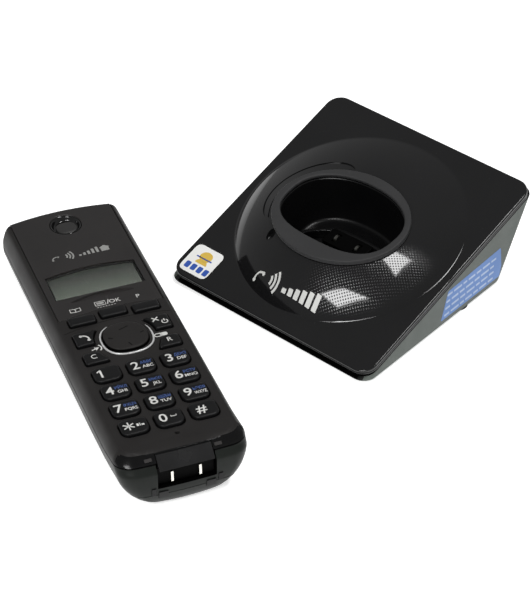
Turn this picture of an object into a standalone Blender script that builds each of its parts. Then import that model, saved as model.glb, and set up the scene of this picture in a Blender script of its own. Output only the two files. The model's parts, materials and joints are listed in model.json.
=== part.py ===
"""Cordless phone: a wedge-shaped charging base and its handset lying face up beside it.

All design sizes are millimetres and become metres as each mesh is made.
Base frame: plan centre of the base on the table, front towards -Y, +X right, +Z up.
Handset frame: u across, v from the lower end to the earpiece, w out of the face (face at w = 0).
"""
import math

import bmesh
import bpy
from mathutils import Matrix, Vector

MM = 0.001
GAP = 0.3                       # clearance between separate pieces
WALL = 1.8                      # moulded wall thickness

# ---- placing -----------------------------------------------------------------
BASE_PLACE = (26.36, 54.491, 0.0)
HANDSET_FROM_BASE = (-26.1, -104.3)         # handset centre seen from the base's centre
HANDSET_TURN = math.radians(61.25)
HANDSET_LENGTH = 158.0
FACE_HEIGHT_LOW, FACE_HEIGHT_TOP = 26.1, 19.9
FACE_PITCH = math.atan((FACE_HEIGHT_LOW - FACE_HEIGHT_TOP) / HANDSET_LENGTH)

# ---- base --------------------------------------------------------------------
BASE_HALF_WIDTH = 50.0
PLATE_HALF_LENGTH = 53.5
PLATE_TILT = math.radians(16.9)
PLATE_CENTRE_HEIGHT = 20.6
PLATE_RADIUS = 6.5
DOME_RADIUS = 46.6
FLOOR_LEVEL = 0.9               # underside of the housing above the table
BACK_FOOT_Y = 33.8              # lower back corner: the back wall leans out from here
COLLAR_CENTRE = (0.0, -6.3, 30.7)
COLLAR_TILT = math.radians(8.0)
COLLAR_AXES = (28.8, 24.9)
COLLAR_HEIGHT = 1.9
WELL_AXES = (25.6, 18.3)
WELL_SHIFT = 1.9                # the opening sits behind the collar's middle
WELL_DEPTH = 22.0
CONTACT_SPACING = 5.2           # half the pitch of the charging contacts
SCREW_PLACE = (37.0, 22.0)

# ---- handset -----------------------------------------------------------------
HALF_WIDTH = 24.3
SEAM_LOW, SEAM_END = 0.0, 159.0
NOSE_STEP = 2.0                 # the lower end leans back by this much where the shells meet
CREASE = (4.7, -1.1)            # v and w of the crease across the lower end
KEY_COLUMNS = (-13.0, 0.0, 13.0)
KEY_ROWS = (51.0, 40.4, 29.8, 19.2)
KEY_NAMES = ("1", "2", "3", "4", "5", "6", "7", "8", "9", "star", "0", "hash")
KEY_SIZE = (10.2, 8.4)
KEY_TOP = 1.2
KEY_FOOT = -3.2
NAV_CENTRE = (0.0, 70.0)
NAV_PAD_RADIUS = 8.2
NAV_RING_RADIUS, NAV_RING_TUBE = 9.55, 0.7
SIDE_KEY_ARC = 11.9             # the talk and off keys are hollowed round the navigation pad
PANEL_HALF_WIDTH = 20.45
PANEL_LOW, PANEL_DROP = 90.1, 2.1
WINDOW_HALF_WIDTH, WINDOW_LOW, WINDOW_HIGH, WINDOW_ARCH = 17.4, 101.4, 115.6, 2.2
EARPIECE_CENTRE = (0.0, 148.0)
COVER_HALF_WIDTH, COVER_END, COVER_SEAM_HEIGHT = 18.0, 74.7, 8.7
CELL_RADIUS, CELL_LENGTH, CELL_OFFSET, CELL_LEVEL = 5.25, 44.5, 5.75, -14.2


def clear_scene():
    for old in list(bpy.data.objects):
        bpy.data.objects.remove(old, do_unlink=True)


def collection(name, hidden=False):
    made = bpy.data.collections.new(name)
    bpy.context.scene.collection.children.link(made)
    made.hide_render = hidden
    return made


def material(name, colour, roughness, metallic=0.0):
    made = bpy.data.materials.new(name)
    made.use_nodes = True
    shader = made.node_tree.nodes["Principled BSDF"]
    shader.inputs["Base Color"].default_value = (*colour, 1.0)
    shader.inputs["Roughness"].default_value = roughness
    shader.inputs["Metallic"].default_value = metallic
    return made


def empty(name, matrix):
    made = bpy.data.objects.new(name, None)
    made.matrix_world = matrix
    PARTS.objects.link(made)
    return made


# ---- outlines: lists of (x, y) running anticlockwise ---------------------------
def ellipse(half_x, half_y, centre=(0.0, 0.0), count=48):
    steps = [2 * math.pi * i / count for i in range(count)]
    return [(centre[0] + half_x * math.cos(a), centre[1] + half_y * math.sin(a)) for a in steps]


def rounded_box(half_x, low, high, r_low, r_high, corner=4, side=1, end=1):
    """Rounded rectangle between y = low and y = high, its straight runs split into side and end pieces."""
    centres = [(half_x - r_low, low + r_low, r_low, -90), (half_x - r_high, high - r_high, r_high, 0),
               (-half_x + r_high, high - r_high, r_high, 90), (-half_x + r_low, low + r_low, r_low, 180)]
    points = []
    for index, (cx, cy, radius, first) in enumerate(centres):
        for step in range(corner + 1):
            angle = math.radians(first + 90 * step / corner)
            points.append((cx + radius * math.cos(angle), cy + radius * math.sin(angle)))
        nx, ny, next_radius, next_first = centres[(index + 1) % 4]
        begin = points[-1]
        angle = math.radians(next_first)
        finish = (nx + next_radius * math.cos(angle), ny + next_radius * math.sin(angle))
        pieces = side if index % 2 == 0 else end
        for step in range(1, pieces):
            part = step / pieces
            points.append((begin[0] + (finish[0] - begin[0]) * part, begin[1] + (finish[1] - begin[1]) * part))
    return points


def oval(half_x, half_y, centre_y=0.0, front=2.0, back=2.0, guide=None, count=40):
    """Superellipse whose front and back halves have their own exponent.

    Its points lie on the bearings of the guide outline's points, or are spread evenly.
    """
    bearings = [math.atan2(y, x) for x, y in guide] if guide else [2 * math.pi * i / count for i in range(count)]
    points = []
    for bearing in bearings:
        c, s = math.cos(bearing), math.sin(bearing)
        power = front if s < 0 else back
        reach = (abs(c / half_x) ** power + abs(s / half_y) ** power) ** (-1 / power)
        points.append((reach * c, centre_y + reach * s))
    return points


def well_outline(grow, guide=None):
    """The well's opening, grown by a margin: an oval with a straighter front."""
    return oval(WELL_AXES[0] + grow, WELL_AXES[1] + grow, WELL_SHIFT, 2.8, 2.15, guide)


def box_outline(x0, x1, y0, y1):
    return [(x0, y0), (x1, y0), (x1, y1), (x0, y1)]


def level(outline, height):
    """Lift an outline to rings: height is a number or a function of (x, y)."""
    if callable(height):
        return [(x, y, height(x, y)) for x, y in outline]
    return [(x, y, height) for x, y in outline]


def prism(outline, low, high):
    return [level(outline, low), level(outline, high)]


def cross_prism(profile, low_x, high_x):
    """A (y, z) profile carried along x."""
    return [[(low_x, y, z) for y, z in profile], [(high_x, y, z) for y, z in profile]]


# ---- making meshes -------------------------------------------------------------
def add_skin(bm, rings, closed):
    loops = [[bm.verts.new(Vector(point) * MM) for point in ring] for ring in rings]
    pairs = list(zip(loops, loops[1:]))
    if closed:
        pairs.append((loops[-1], loops[0]))
    for below, above in pairs:
        count = len(below)
        for i in range(count):
            j = (i + 1) % count
            bm.faces.new((below[i], below[j], above[j], above[i]))
    if not closed:
        bm.faces.new(loops[0])
        bm.faces.new(loops[-1])


def make(name, skins, look=None, parent=None, at=(0.0, 0.0, 0.0), closed=False, cutter=False):
    """One mesh object from one or more skins, each a list of rings; closed skins join end to end."""
    bm = bmesh.new()
    for rings in skins:
        add_skin(bm, rings, closed)
    bmesh.ops.recalc_face_normals(bm, faces=bm.faces)
    mesh = bpy.data.meshes.new(name)
    bm.to_mesh(mesh)
    bm.free()
    mesh.shade_smooth()
    mesh.set_sharp_from_angle(angle=math.radians(32))
    return place(name, mesh, look, parent, at, cutter)


def place(name, data, look=None, parent=None, at=(0.0, 0.0, 0.0), cutter=False):
    made = bpy.data.objects.new(name, data)
    (CUTTERS if cutter else PARTS).objects.link(made)
    made.parent = parent
    made.location = Vector(at) * MM
    if look and not data.materials:
        data.materials.append(look)
    if cutter:
        made.hide_render = True
        made.display_type = "WIRE"
    return made


def cut(target, name, skins, operation="DIFFERENCE"):
    tool = make(name, skins, parent=target.parent, cutter=True)
    step = target.modifiers.new(name, "BOOLEAN")
    step.operation = operation
    step.object = tool
    return tool


def disc(radius, low, high, centre=(0.0, 0.0), count=20):
    return prism(ellipse(radius, radius, centre, count), low, high)


# ---- base ----------------------------------------------------------------------
def collar_to_plate(point):
    """Carry a point from the collar's frame to the plate's frame."""
    x, q, h = point
    y = COLLAR_CENTRE[1] + q * math.cos(COLLAR_TILT) - h * math.sin(COLLAR_TILT)
    z = COLLAR_CENTRE[2] + q * math.sin(COLLAR_TILT) + h * math.cos(COLLAR_TILT) - PLATE_CENTRE_HEIGHT
    return (x, y * math.cos(PLATE_TILT) + z * math.sin(PLATE_TILT),
            -y * math.sin(PLATE_TILT) + z * math.cos(PLATE_TILT))


def dome_rings(foot, seat, steps, bulge):
    """Rings from foot to seat, rising faster at first so that the dome is convex."""
    rings = []
    for step in range(1, steps):
        part = step / steps
        lift = part + bulge * part * (1 - part)
        rings.append([(a[0] + (b[0] - a[0]) * part, a[1] + (b[1] - a[1]) * part, a[2] + (b[2] - a[2]) * lift)
                      for a, b in zip(foot, seat)])
    return rings


def build_base_top(parent):
    def plate_ring(inset, height, radius):
        outline = rounded_box(BASE_HALF_WIDTH - inset, -PLATE_HALF_LENGTH + inset, PLATE_HALF_LENGTH - inset,
                              radius, radius, corner=4, side=7, end=7)
        return level(outline, height)

    guide = [(x, y) for x, y, _ in plate_ring(0.0, 0.0, PLATE_RADIUS)]
    seat_drop = COLLAR_HEIGHT + GAP
    foot = level(oval(DOME_RADIUS, DOME_RADIUS, guide=guide), 0.0)
    seat = [collar_to_plate((x, y, -seat_drop))
            for x, y in oval(COLLAR_AXES[0] - 0.2, COLLAR_AXES[1] - 0.2, guide=guide)]
    hole = well_outline(1.6, guide)
    hole_top = [collar_to_plate((x, y, -seat_drop)) for x, y in hole]
    hole_bottom = [collar_to_plate((x, y, -seat_drop - 2.2)) for x, y in hole]
    inner_foot = level(oval(DOME_RADIUS - 1.4, DOME_RADIUS - 1.4, guide=guide), -2.0)
    rings = [plate_ring(0.0, -2.4, PLATE_RADIUS), plate_ring(0.0, -0.7, PLATE_RADIUS),
             plate_ring(0.7, 0.0, PLATE_RADIUS - 0.7), foot]
    rings += dome_rings(foot, seat, 6, 0.35)
    rings += [seat, hole_top, hole_bottom]
    rings += dome_rings(inner_foot, hole_bottom, 3, 0.35)[::-1]
    rings += [inner_foot, plate_ring(2.4, -2.0, PLATE_RADIUS - 2.4), plate_ring(1.8, -2.4, PLATE_RADIUS - 1.8)]
    return make("base_top_cover", [rings], BLACK_GLOSS, parent, closed=True)


def build_collar(parent):
    outer = [ellipse(*(axis - inset for axis in COLLAR_AXES), count=40) for inset in (0.0, 0.0, 0.5)]
    inner = [well_outline(grow) for grow in (0.6, 0.0, 0.0)]
    heights = (-COLLAR_HEIGHT, -0.5, 0.0, -0.3, -0.9, -COLLAR_HEIGHT)
    rings = [level(outline, height) for outline, height in zip(outer + inner, heights)]
    return make("cradle_collar", [rings], MATT_GREY, parent, closed=True)


def build_well(parent):
    top = -COLLAR_HEIGHT - GAP
    stations = ((-3.6, -WELL_DEPTH - 1.2), (-1.4, -WELL_DEPTH + 0.6), (1.2, top),
                (0.0, top), (-2.6, -WELL_DEPTH + 1.2), (-3.6, -WELL_DEPTH))
    rings = [level(well_outline(grow), height) for grow, height in stations]
    return make("cradle_well", [rings], BLACK_GLOSS, parent)


def build_pedestal(parent):
    low, high = -WELL_DEPTH + GAP, -17.2
    outline = rounded_box(10.0, -2.2, 6.2, 1.2, 1.2, corner=2)
    inset = rounded_box(9.5, -1.7, 5.7, 1.0, 1.0, corner=2)
    block = make("contact_pedestal", [[level(outline, low), level(outline, high - 0.5), level(inset, high)]],
                 BLACK_SATIN, parent)
    slots = [prism(box_outline(x - 0.95, x + 0.95, -0.4, 4.4), low + 0.6, high + 2.0)
             for x in (-CONTACT_SPACING, CONTACT_SPACING)]
    cut(block, "pedestal_slots", slots)
    profile = [(-2.0, -3.6), (2.0, -3.6), (2.0, -0.3), (1.4, 0.0), (-1.4, 0.0), (-2.0, -0.3)]
    for side, x in (("left", -CONTACT_SPACING), ("right", CONTACT_SPACING)):
        make("base_contact_" + side, [cross_prism(profile, -0.6, 0.6)], METAL, parent, at=(x, 2.0, -16.3))


def build_housing(parent):
    def plate_ring(inset, front_inset, height):
        """A ring in the plate's plane, written in the base's frame."""
        outline = rounded_box(BASE_HALF_WIDTH - inset, -PLATE_HALF_LENGTH + front_inset,
                              PLATE_HALF_LENGTH - inset, 5.5, 4.2, corner=4, side=4, end=4)
        c, s = math.cos(PLATE_TILT), math.sin(PLATE_TILT)
        return [(x, y * c - height * s, PLATE_CENTRE_HEIGHT + y * s + height * c) for x, y in outline]

    def floor_ring(half, low, high, height):
        return level(rounded_box(half, low, high, 5.5, 4.2, corner=4, side=4, end=4), height)

    rings = [floor_ring(49.6, -51.2, BACK_FOOT_Y - 0.7, FLOOR_LEVEL),
             floor_ring(50.2, -51.7, BACK_FOOT_Y + 0.2, FLOOR_LEVEL + 0.6),
             plate_ring(0.25, 0.3, -2.4 - GAP), plate_ring(2.4, 7.5, -2.4 - GAP),
             floor_ring(47.2, -43.0, BACK_FOOT_Y - 1.8, FLOOR_LEVEL + 1.4)]
    housing = make("base_housing", [rings], GREY_GREEN, parent)
    screws = [disc(3.3, -1.0, 4.0, (x, SCREW_PLACE[1])) for x in (-SCREW_PLACE[0], SCREW_PLACE[0])]
    jacks = [prism(box_outline(x - half, x + half, 25.0, 50.0), 7.6, 17.4)
             for x, half in ((-22.0, 6.3), (18.0, 6.8))]
    cut(housing, "housing_holes", screws + jacks)


def build_base_insides(parent):
    make("base_pcb", [prism(box_outline(-30.0, 30.0, 17.5, 30.4), 4.6, 6.2)], BOARD, parent)
    line = make("line_jack", [prism(box_outline(11.6, 24.4, 23.0, 36.0), 8.0, 17.0)], BLACK_SATIN, parent)
    cut(line, "line_socket", [prism(box_outline(13.1, 22.9, 26.0, 40.0), 9.4, 15.6)])
    power = make("power_jack", [prism(box_outline(-27.9, -16.1, 23.0, 36.0), 8.0, 17.0)], BLACK_SATIN, parent)
    round_end = [(-22.0 + x, 12.5 + z) for x, z in ellipse(3.3, 3.3, count=16)]
    cut(power, "power_socket", [[[(x, y, z) for x, z in round_end] for y in (26.0, 40.0)]])
    for name, x, y in (("front_left", -38.0, -40.0), ("front_right", 38.0, -40.0),
                       ("rear_left", -46.2, 10.0), ("rear_right", 46.2, 10.0)):
        foot = [level(ellipse(r, r, count=20), z) for r, z in ((3.7, 0.0), (4.0, 0.3), (4.0, FLOOR_LEVEL - GAP))]
        make("foot_" + name, [foot], RUBBER, parent, at=(x, y, 0.0))
    for side, x in (("left", -SCREW_PLACE[0]), ("right", SCREW_PLACE[0])):
        build_screw("base_screw_" + side, parent, (x, SCREW_PLACE[1], 1.5), 2.9, 1.4, 1.4, 7.0)


def build_screw(name, parent, at, head, head_height, shank, length):
    rings = [level(ellipse(r, r, count=16), z) for r, z in
             ((head - 0.4, 0.0), (head, 0.4), (head, head_height), (shank, head_height), (shank, length))]
    make(name, [rings], STEEL, parent, at=at)


# ---- handset --------------------------------------------------------------------
def table_depth(v):
    """Depth of the table's plane under the face."""
    return (FACE_HEIGHT_LOW - v * math.sin(FACE_PITCH)) / math.cos(FACE_PITCH)


def smooth(value):
    value = min(max(value, 0.0), 1.0)
    return value * value * (3 - 2 * value)


def seam_depth(v):
    """Depth of the line between the front and rear shells: it climbs towards the lower end."""
    return 3.8 + 3.3 * smooth(v / 24.0) + 1.8 * smooth((v - 60.0) / 100.0)


def handset_outline(half, low, high, r_low, r_high):
    """Plan outline with crowned ends."""
    points = rounded_box(half, low, high, r_low, r_high, corner=5, side=10, end=6)
    middle = (low + high) / 2
    crowned = []
    for u, v in points:
        reach = abs(v - middle) / (high - middle)
        crown = 2.2 if v > middle else -1.0
        crowned.append((u, v - crown * (u / half) ** 2 * reach ** 8))
    return crowned


def build_front_shell(parent):
    outer = [(HALF_WIDTH, NOSE_STEP, SEAM_END, 6.5, 3.2, 1.0, 0.15), (23.6, 3.7, 158.8, 6.0, 2.9, 0.4, 0.65),
             (22.4, 4.85, 158.4, 5.2, 2.5, 0.0, 0.95), (21.8, 5.2, 158.1, 4.8, 2.2, 0.0, 0.6),
             (20.9, 5.85, 157.5, 4.0, 1.9, 0.0, 0.0)]
    inner = [(19.8, 8.6, 155.0, 3.0, 2.5, 0.0, 2.0), (20.9, 7.2, 156.0, 3.5, 3.0, 0.3, 2.0),
             (22.2, NOSE_STEP + 1.9, 156.8, 5.0, 3.2, 1.0, 0.15)]

    def ring(half, low, high, r_low, r_high, share, extra):
        outline = handset_outline(half, low, high, r_low, r_high)
        return level(outline, lambda u, v: -share * (seam_depth(v) - 0.3) - extra)

    rings = [ring(*row) for row in outer[::-1]] + [ring(*row) for row in inner[::-1]]
    shell = make("front_shell", [rings], HANDSET_GREY, parent)
    cut(shell, "front_shell_rebates", [prism(panel_outline(PANEL_HALF_WIDTH + GAP, -GAP, 170.0), -1.2, 3.0),
                                       prism(box_outline(-10.5, 10.5, -6.0, 8.6), -9.0, -1.35)])
    cut(shell, "front_shell_holes", face_cutters())
    cut(shell, "front_shell_end_band", [end_band()])


def end_band():
    """What is cut off the face at the lower end: a crescent that slopes down to a straight crease."""
    crease_v, crease_w = CREASE
    rings = []
    for u in range(-28, 29, 4):
        start = 9.7 - 0.0093 * u * u
        rings.append([(u, start, 0.0), (u, start, 3.0), (u, -6.0, 3.0), (u, -6.0, -3.2), (u, crease_v, crease_w)])
    return rings


def arc(centre, radius, first, last, steps):
    angles = [math.radians(first + (last - first) * i / steps) for i in range(steps + 1)]
    return [(centre[0] + radius * math.cos(a), centre[1] + radius * math.sin(a)) for a in angles]


def panel_outline(half, low_shift, high):
    """Display panel: arched lower edge, straight sides, crowned upper edge."""
    steps = 8
    lower = [(half * (2 * i / steps - 1), PANEL_LOW + low_shift - PANEL_DROP * (2 * i / steps - 1) ** 2)
             for i in range(steps + 1)]
    upper = [(half * (1 - 2 * i / steps), high - 2.2 * (1 - 2 * i / steps) ** 2) for i in range(steps + 1)]
    return lower + upper


def window_outline(grow):
    half, steps = WINDOW_HALF_WIDTH + grow, 8
    upper = [(half * (1 - 2 * i / steps), WINDOW_HIGH + grow + WINDOW_ARCH * (1 - (1 - 2 * i / steps) ** 2))
             for i in range(steps + 1)]
    return [(-half, WINDOW_LOW - grow), (half, WINDOW_LOW - grow)] + upper


def mirrored(outline):
    return [(-u, v) for u, v in outline][::-1]


def side_key_outlines(grow):
    """Outlines of the four keys beside the navigation pad, grown by a margin."""
    g, reach = grow, SIDE_KEY_ARC - grow
    low, high = 69.7 - g, 77.6 + g
    first, last = (180 - math.degrees(math.asin((v - NAV_CENTRE[1]) / reach)) for v in (low, high))
    talk = [(-18.4 - g, low)] + arc(NAV_CENTRE, reach, first, last, 6) + [(-18.4 - g, high)]
    clear = [(-18.4 - g, 58.4 - g), (-9.3 + g, 58.4 - g), (-12.2 + g, 64.8 + g), (-18.4 - g, 64.8 + g)]
    return {"key_talk": talk, "key_off": mirrored(talk), "key_clear": clear, "key_recall": mirrored(clear)}


def soft_key_places():
    return {"key_soft_left": (-12.3, 85.0), "key_soft_middle": (0.2, 86.3), "key_soft_right": (12.7, 85.0)}


def key_places():
    places = [(u, v) for v in KEY_ROWS for u in KEY_COLUMNS]
    return {"key_" + name: place_ for name, place_ in zip(KEY_NAMES, places)}


def shifted_box(centre, half_u, half_v, radius, corner):
    outline = rounded_box(half_u, -half_v, half_v, radius, radius, corner=corner)
    return [(u + centre[0], v + centre[1]) for u, v in outline]


def face_cutters():
    """The openings that go through the front shell: keys, pad, microphone, display and earpiece."""
    margin = 0.35
    through = (-8.0, 3.0)
    skins = [prism(shifted_box(centre, KEY_SIZE[0] / 2 + margin, KEY_SIZE[1] / 2 + margin, 2.0, 2), *through)
             for centre in key_places().values()]
    skins += [prism(shifted_box(centre, 5.1 + margin, 2.5 + margin, 0.9, 1), *through)
              for centre in soft_key_places().values()]
    skins += [prism(outline, *through) for outline in side_key_outlines(margin).values()]
    pad = [ellipse(NAV_PAD_RADIUS + 0.4, NAV_PAD_RADIUS + 0.4, NAV_CENTRE, 28),
           ellipse(NAV_RING_RADIUS + 1.1, NAV_RING_RADIUS + 1.1, NAV_CENTRE, 28)]
    skins.append([level(pad[0], through[0]), level(pad[0], -0.5), level(pad[1], -0.5), level(pad[1], through[1])])
    skins.append(disc(0.8, *through, (0.3, 11.4), 12))
    skins.append(prism(window_outline(-0.2), *through))
    skins.append(prism(ellipse(6.2, 6.6, EARPIECE_CENTRE, 24), *through))
    return skins


def rear_ring(angle, inset, seam_shift):
    """One ring of the rear hull; angle runs from 0 at the seam to 90 degrees at the back."""
    c, s = math.cos(math.radians(angle)), math.sin(math.radians(angle))
    nose_fill = s ** (2 / 2.2)
    end_fill = s ** (2 / 2.7)
    lean = NOSE_STEP * (1 - smooth(nose_fill / 0.16))
    low = SEAM_LOW + inset + lean + 12.0 * (1 - (1 - nose_fill ** 3) ** (1 / 3))
    high = SEAM_END - inset - 8.0 * (1 - (1 - end_fill ** 3) ** (1 / 3))
    shrink = c ** (2 / 2.7)
    outline = handset_outline(HALF_WIDTH - inset, low, high, 5.0 * shrink + 1.5, 1.7 * shrink + 1.5)
    points = []
    for u, v in outline:
        power = 2.2 + 0.5 * smooth(v / 50.0)
        fill = s ** (2 / power)
        top = seam_depth(v) + seam_shift
        points.append((u * c ** (2 / power), v, -top - fill * (table_depth(v) - inset - top)))
    return points


def rear_hull():
    """Rings of the rear hull as a tub: outside up to the seam, then down the inside."""
    outer = [rear_ring(a, 0.0, 0.15) for a in (0.0, 8.0, 20.0, 36.0, 52.0, 66.0, 78.0)]
    inner = [rear_ring(a, WALL, 0.15) for a in (0.0, 10.0, 28.0, 48.0, 64.0, 78.0)]
    return outer[::-1] + inner


def cover_block(half, seam_height, end):
    """The region that the battery cover takes out of the rear hull."""
    profile = [(v, -table_depth(v) + seam_height) for v in (-20.0, end)] + [(end, -40.0), (-20.0, -40.0)]
    return cross_prism(profile, -half, half)


def build_rear(parent, cover_parent):
    rear = make("rear_shell", [rear_hull()], HANDSET_GREY, parent)
    block = cover_block(COVER_HALF_WIDTH + GAP, COVER_SEAM_HEIGHT + GAP, COVER_END + GAP)
    recess = prism(box_outline(-10.9, 10.9, -6.0, 7.2), -14.0, 0.0)
    screws = [disc(2.9, -30.0, -14.0, (u, 140.0), 14) for u in (-12.0, 12.0)]
    cut(rear, "cover_opening", [block])
    cut(rear, "rear_shell_holes", [recess] + screws)
    cover = make("battery_cover", [rear_hull()], HANDSET_GREY, cover_parent)
    cut(cover, "cover_limits", [cover_block(COVER_HALF_WIDTH, COVER_SEAM_HEIGHT, COVER_END)], "INTERSECT")
    for side, u in (("left", -12.0), ("right", 12.0)):
        depth = table_depth(140.0)
        build_screw("handset_screw_" + side, parent, (u, 140.0, -depth + 1.2), 2.5, 1.2, 1.2, 7.5)


def build_display(parent):
    panel = make("display_panel", [[level(panel_outline(PANEL_HALF_WIDTH, 0.0, 158.3), -0.9),
                                    level(panel_outline(PANEL_HALF_WIDTH, 0.0, 158.2), -0.4),
                                    level(panel_outline(PANEL_HALF_WIDTH - 0.3, 0.3, 157.3), 0.0)]],
                 PANEL_GREY, parent)
    cut(panel, "panel_openings", [prism(window_outline(GAP), -4.0, 4.0),
                                  prism(ellipse(6.2, 6.6, EARPIECE_CENTRE, 24), -4.0, 4.0)])
    make("display_window", [prism(window_outline(0.0), -0.9, -0.3)], GLASS, parent)
    wide, raised = window_outline(1.5), window_outline(-0.5)
    make("lcd_module", [[level(wide, -4.6), level(wide, -2.3), level(raised, -2.3), level(raised, -1.2)]], LCD, parent)
    make("earpiece_speaker", [disc(6.4, -5.8, -2.4, (0.0, 147.2), 24)], BLACK_SATIN, parent)
    pad = [level(ellipse(r, r * 0.92, (0.0, 146.7), 24), w) for r, w in ((4.1, -2.0), (4.1, -1.0), (3.6, -0.6))]
    make("earpiece_pad", [pad], MATT_GREY, parent)


def key_rings(outline, smaller, flange):
    return [level(flange, KEY_FOOT), level(flange, KEY_FOOT + 0.7), level(outline, KEY_FOOT + 0.7),
            level(outline, KEY_TOP - 0.5), level(smaller, KEY_TOP)]


def build_keys(parent):
    half_u, half_v = KEY_SIZE[0] / 2, KEY_SIZE[1] / 2
    outlines = [rounded_box(half_u - i, -half_v + i, half_v - i, 2.0, 2.0, corner=2) for i in (0.0, 0.5, -0.6)]
    dial = None
    for name, (u, v) in key_places().items():
        if dial is None:
            dial = make(name, [key_rings(*outlines)], KEY_GREY, parent, at=(u, v, 0.0)).data
        else:
            place(name, dial, KEY_GREY, parent, (u, v, 0.0))
    soft = [rounded_box(5.1 - i, -2.5 + i, 2.5 - i, 0.9, 0.9, corner=1) for i in (0.0, 0.5, -0.5)]
    for name, (u, v) in soft_key_places().items():
        make(name, [key_rings(*soft)], KEY_GREY, parent, at=(u, v, 0.0))
    body, top, flange = (side_key_outlines(grow) for grow in (0.0, -0.5, 0.5))
    for name in body:
        centre = tuple(sum(point[axis] for point in body[name]) / len(body[name]) for axis in (0, 1))
        shapes = [[(u - centre[0], v - centre[1]) for u, v in group[name]] for group in (body, top, flange)]
        make(name, [key_rings(*shapes)], KEY_GREY, parent, at=(*centre, 0.0))


def build_navigation(parent):
    pivot_level = -1.75
    post = [level(ellipse(r, r, count=16), w) for r, w in ((3.4, -1.7), (3.4, -0.9), (2.4, -0.3))]
    make("nav_pivot", [post], BLACK_SATIN, parent, at=(*NAV_CENTRE, pivot_level))
    pad = [level(ellipse(r, r, count=28), w - pivot_level) for r, w in
           ((7.6, -1.6), (8.2, -1.1), (8.2, 1.1), (7.7, 1.75), (6.4, 2.0))]
    make("nav_pad", [pad], KEY_GREY, parent, at=(*NAV_CENTRE, pivot_level))
    curve = bpy.data.curves.new("nav_ring", "CURVE")
    curve.dimensions = "3D"
    curve.bevel_depth = NAV_RING_TUBE * MM
    curve.bevel_resolution = 1
    curve.use_fill_caps = True
    curve.render_resolution_u = 0
    route = curve.splines.new("POLY")
    points = arc(NAV_CENTRE, NAV_RING_RADIUS, 118, 422, 30)
    route.points.add(len(points) - 1)
    for slot, (u, v) in zip(route.points, points):
        slot.co = (u * MM, v * MM, 0.5 * MM, 1.0)
    place("nav_ring", curve, CHROME, parent)


def build_handset_insides(parent):
    make("keypad_mat", [prism(box_outline(-18.6, 18.6, 14.6, 92.0), -5.6, -4.5)], RUBBER, parent)
    make("handset_pcb", [prism(box_outline(-18.8, 18.8, 9.0, 138.0), -7.4, -6.1)], BOARD, parent)
    make("microphone", [disc(2.6, -4.6, -2.4, (0.3, 11.4), 16)], STEEL, parent)
    tray = make("battery_tray", [prism(box_outline(-12.6, 12.6, 17.0, 71.0), -13.6, -7.8)], BLACK_SATIN, parent)
    cut(tray, "cell_bay", [prism(box_outline(-11.7, 11.7, 18.0, 70.0), -20.0, CELL_LEVEL + CELL_RADIUS + 0.35)])
    for index, u in enumerate((-CELL_OFFSET, CELL_OFFSET)):
        turned = 1 if index == 0 else -1
        middle = 44.0 + turned * 1.0
        half = CELL_LENGTH / 2
        stations = [(-half, CELL_RADIUS - 0.4), (-half + 0.4, CELL_RADIUS), (half - 1.2, CELL_RADIUS),
                    (half - 0.8, 1.9), (half, 1.9)]
        rings = [[(r * x, turned * y, r * z) for x, z in ellipse(1.0, 1.0, count=16)] for y, r in stations]
        make("battery_cell_%d" % (index + 1), [rings], CELL, parent, at=(u, middle, CELL_LEVEL))
        build_spring("battery_spring_%d" % (index + 1), parent,
                     (u, middle - turned * (half + 0.4), CELL_LEVEL), -turned)


def build_spring(name, parent, at, direction):
    curve = bpy.data.curves.new(name, "CURVE")
    curve.dimensions = "3D"
    curve.bevel_depth = 0.25 * MM
    curve.bevel_resolution = 0
    curve.use_fill_caps = True
    curve.render_resolution_u = 0
    turns, per_turn = 2, 8
    route = curve.splines.new("POLY")
    route.points.add(turns * per_turn)
    for index, slot in enumerate(route.points):
        part = index / (turns * per_turn)
        angle = 2 * math.pi * index / per_turn
        radius = 1.8 + 1.6 * part
        slot.co = (radius * math.cos(angle) * MM, direction * (0.4 + 1.7 * part) * MM,
                   radius * math.sin(angle) * MM, 1.0)
    place(name, curve, STEEL, parent, at)


def build_handset_end(parent):
    profile = [(4.1, -1.65), (-0.3, -5.8), (2.1, -5.8), (6.5, -1.65)]
    make("end_panel", [cross_prism(profile, -10.2, 10.2)], PANEL_GREY, parent)
    block = [(2.4, -13.6), (2.4, -6.3), (6.8, -6.3), (6.8, -13.6)]
    make("contact_block", [cross_prism(block, -10.5, 10.5)], BLACK_SATIN, parent)
    strip = [(1.5, -12.7), (1.5, -8.4), (2.1, -8.4), (2.1, -12.7)]
    for side, u in (("left", -CONTACT_SPACING), ("right", CONTACT_SPACING)):
        make("charge_contact_" + side, [cross_prism(strip, u - 0.6, u + 0.6)], METAL, parent)


# ---- assembly --------------------------------------------------------------------
def build_base():
    base = empty("base_frame", Matrix.Translation(Vector(BASE_PLACE) * MM))
    plate = empty("plate_frame", base.matrix_world
                  @ Matrix.Translation(Vector((0.0, 0.0, PLATE_CENTRE_HEIGHT)) * MM)
                  @ Matrix.Rotation(PLATE_TILT, 4, "X"))
    collar = empty("collar_frame", base.matrix_world @ Matrix.Translation(Vector(COLLAR_CENTRE) * MM)
                   @ Matrix.Rotation(COLLAR_TILT, 4, "X"))
    build_base_top(plate)
    build_collar(collar)
    build_well(collar)
    build_pedestal(collar)
    build_housing(base)
    build_base_insides(base)


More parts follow.
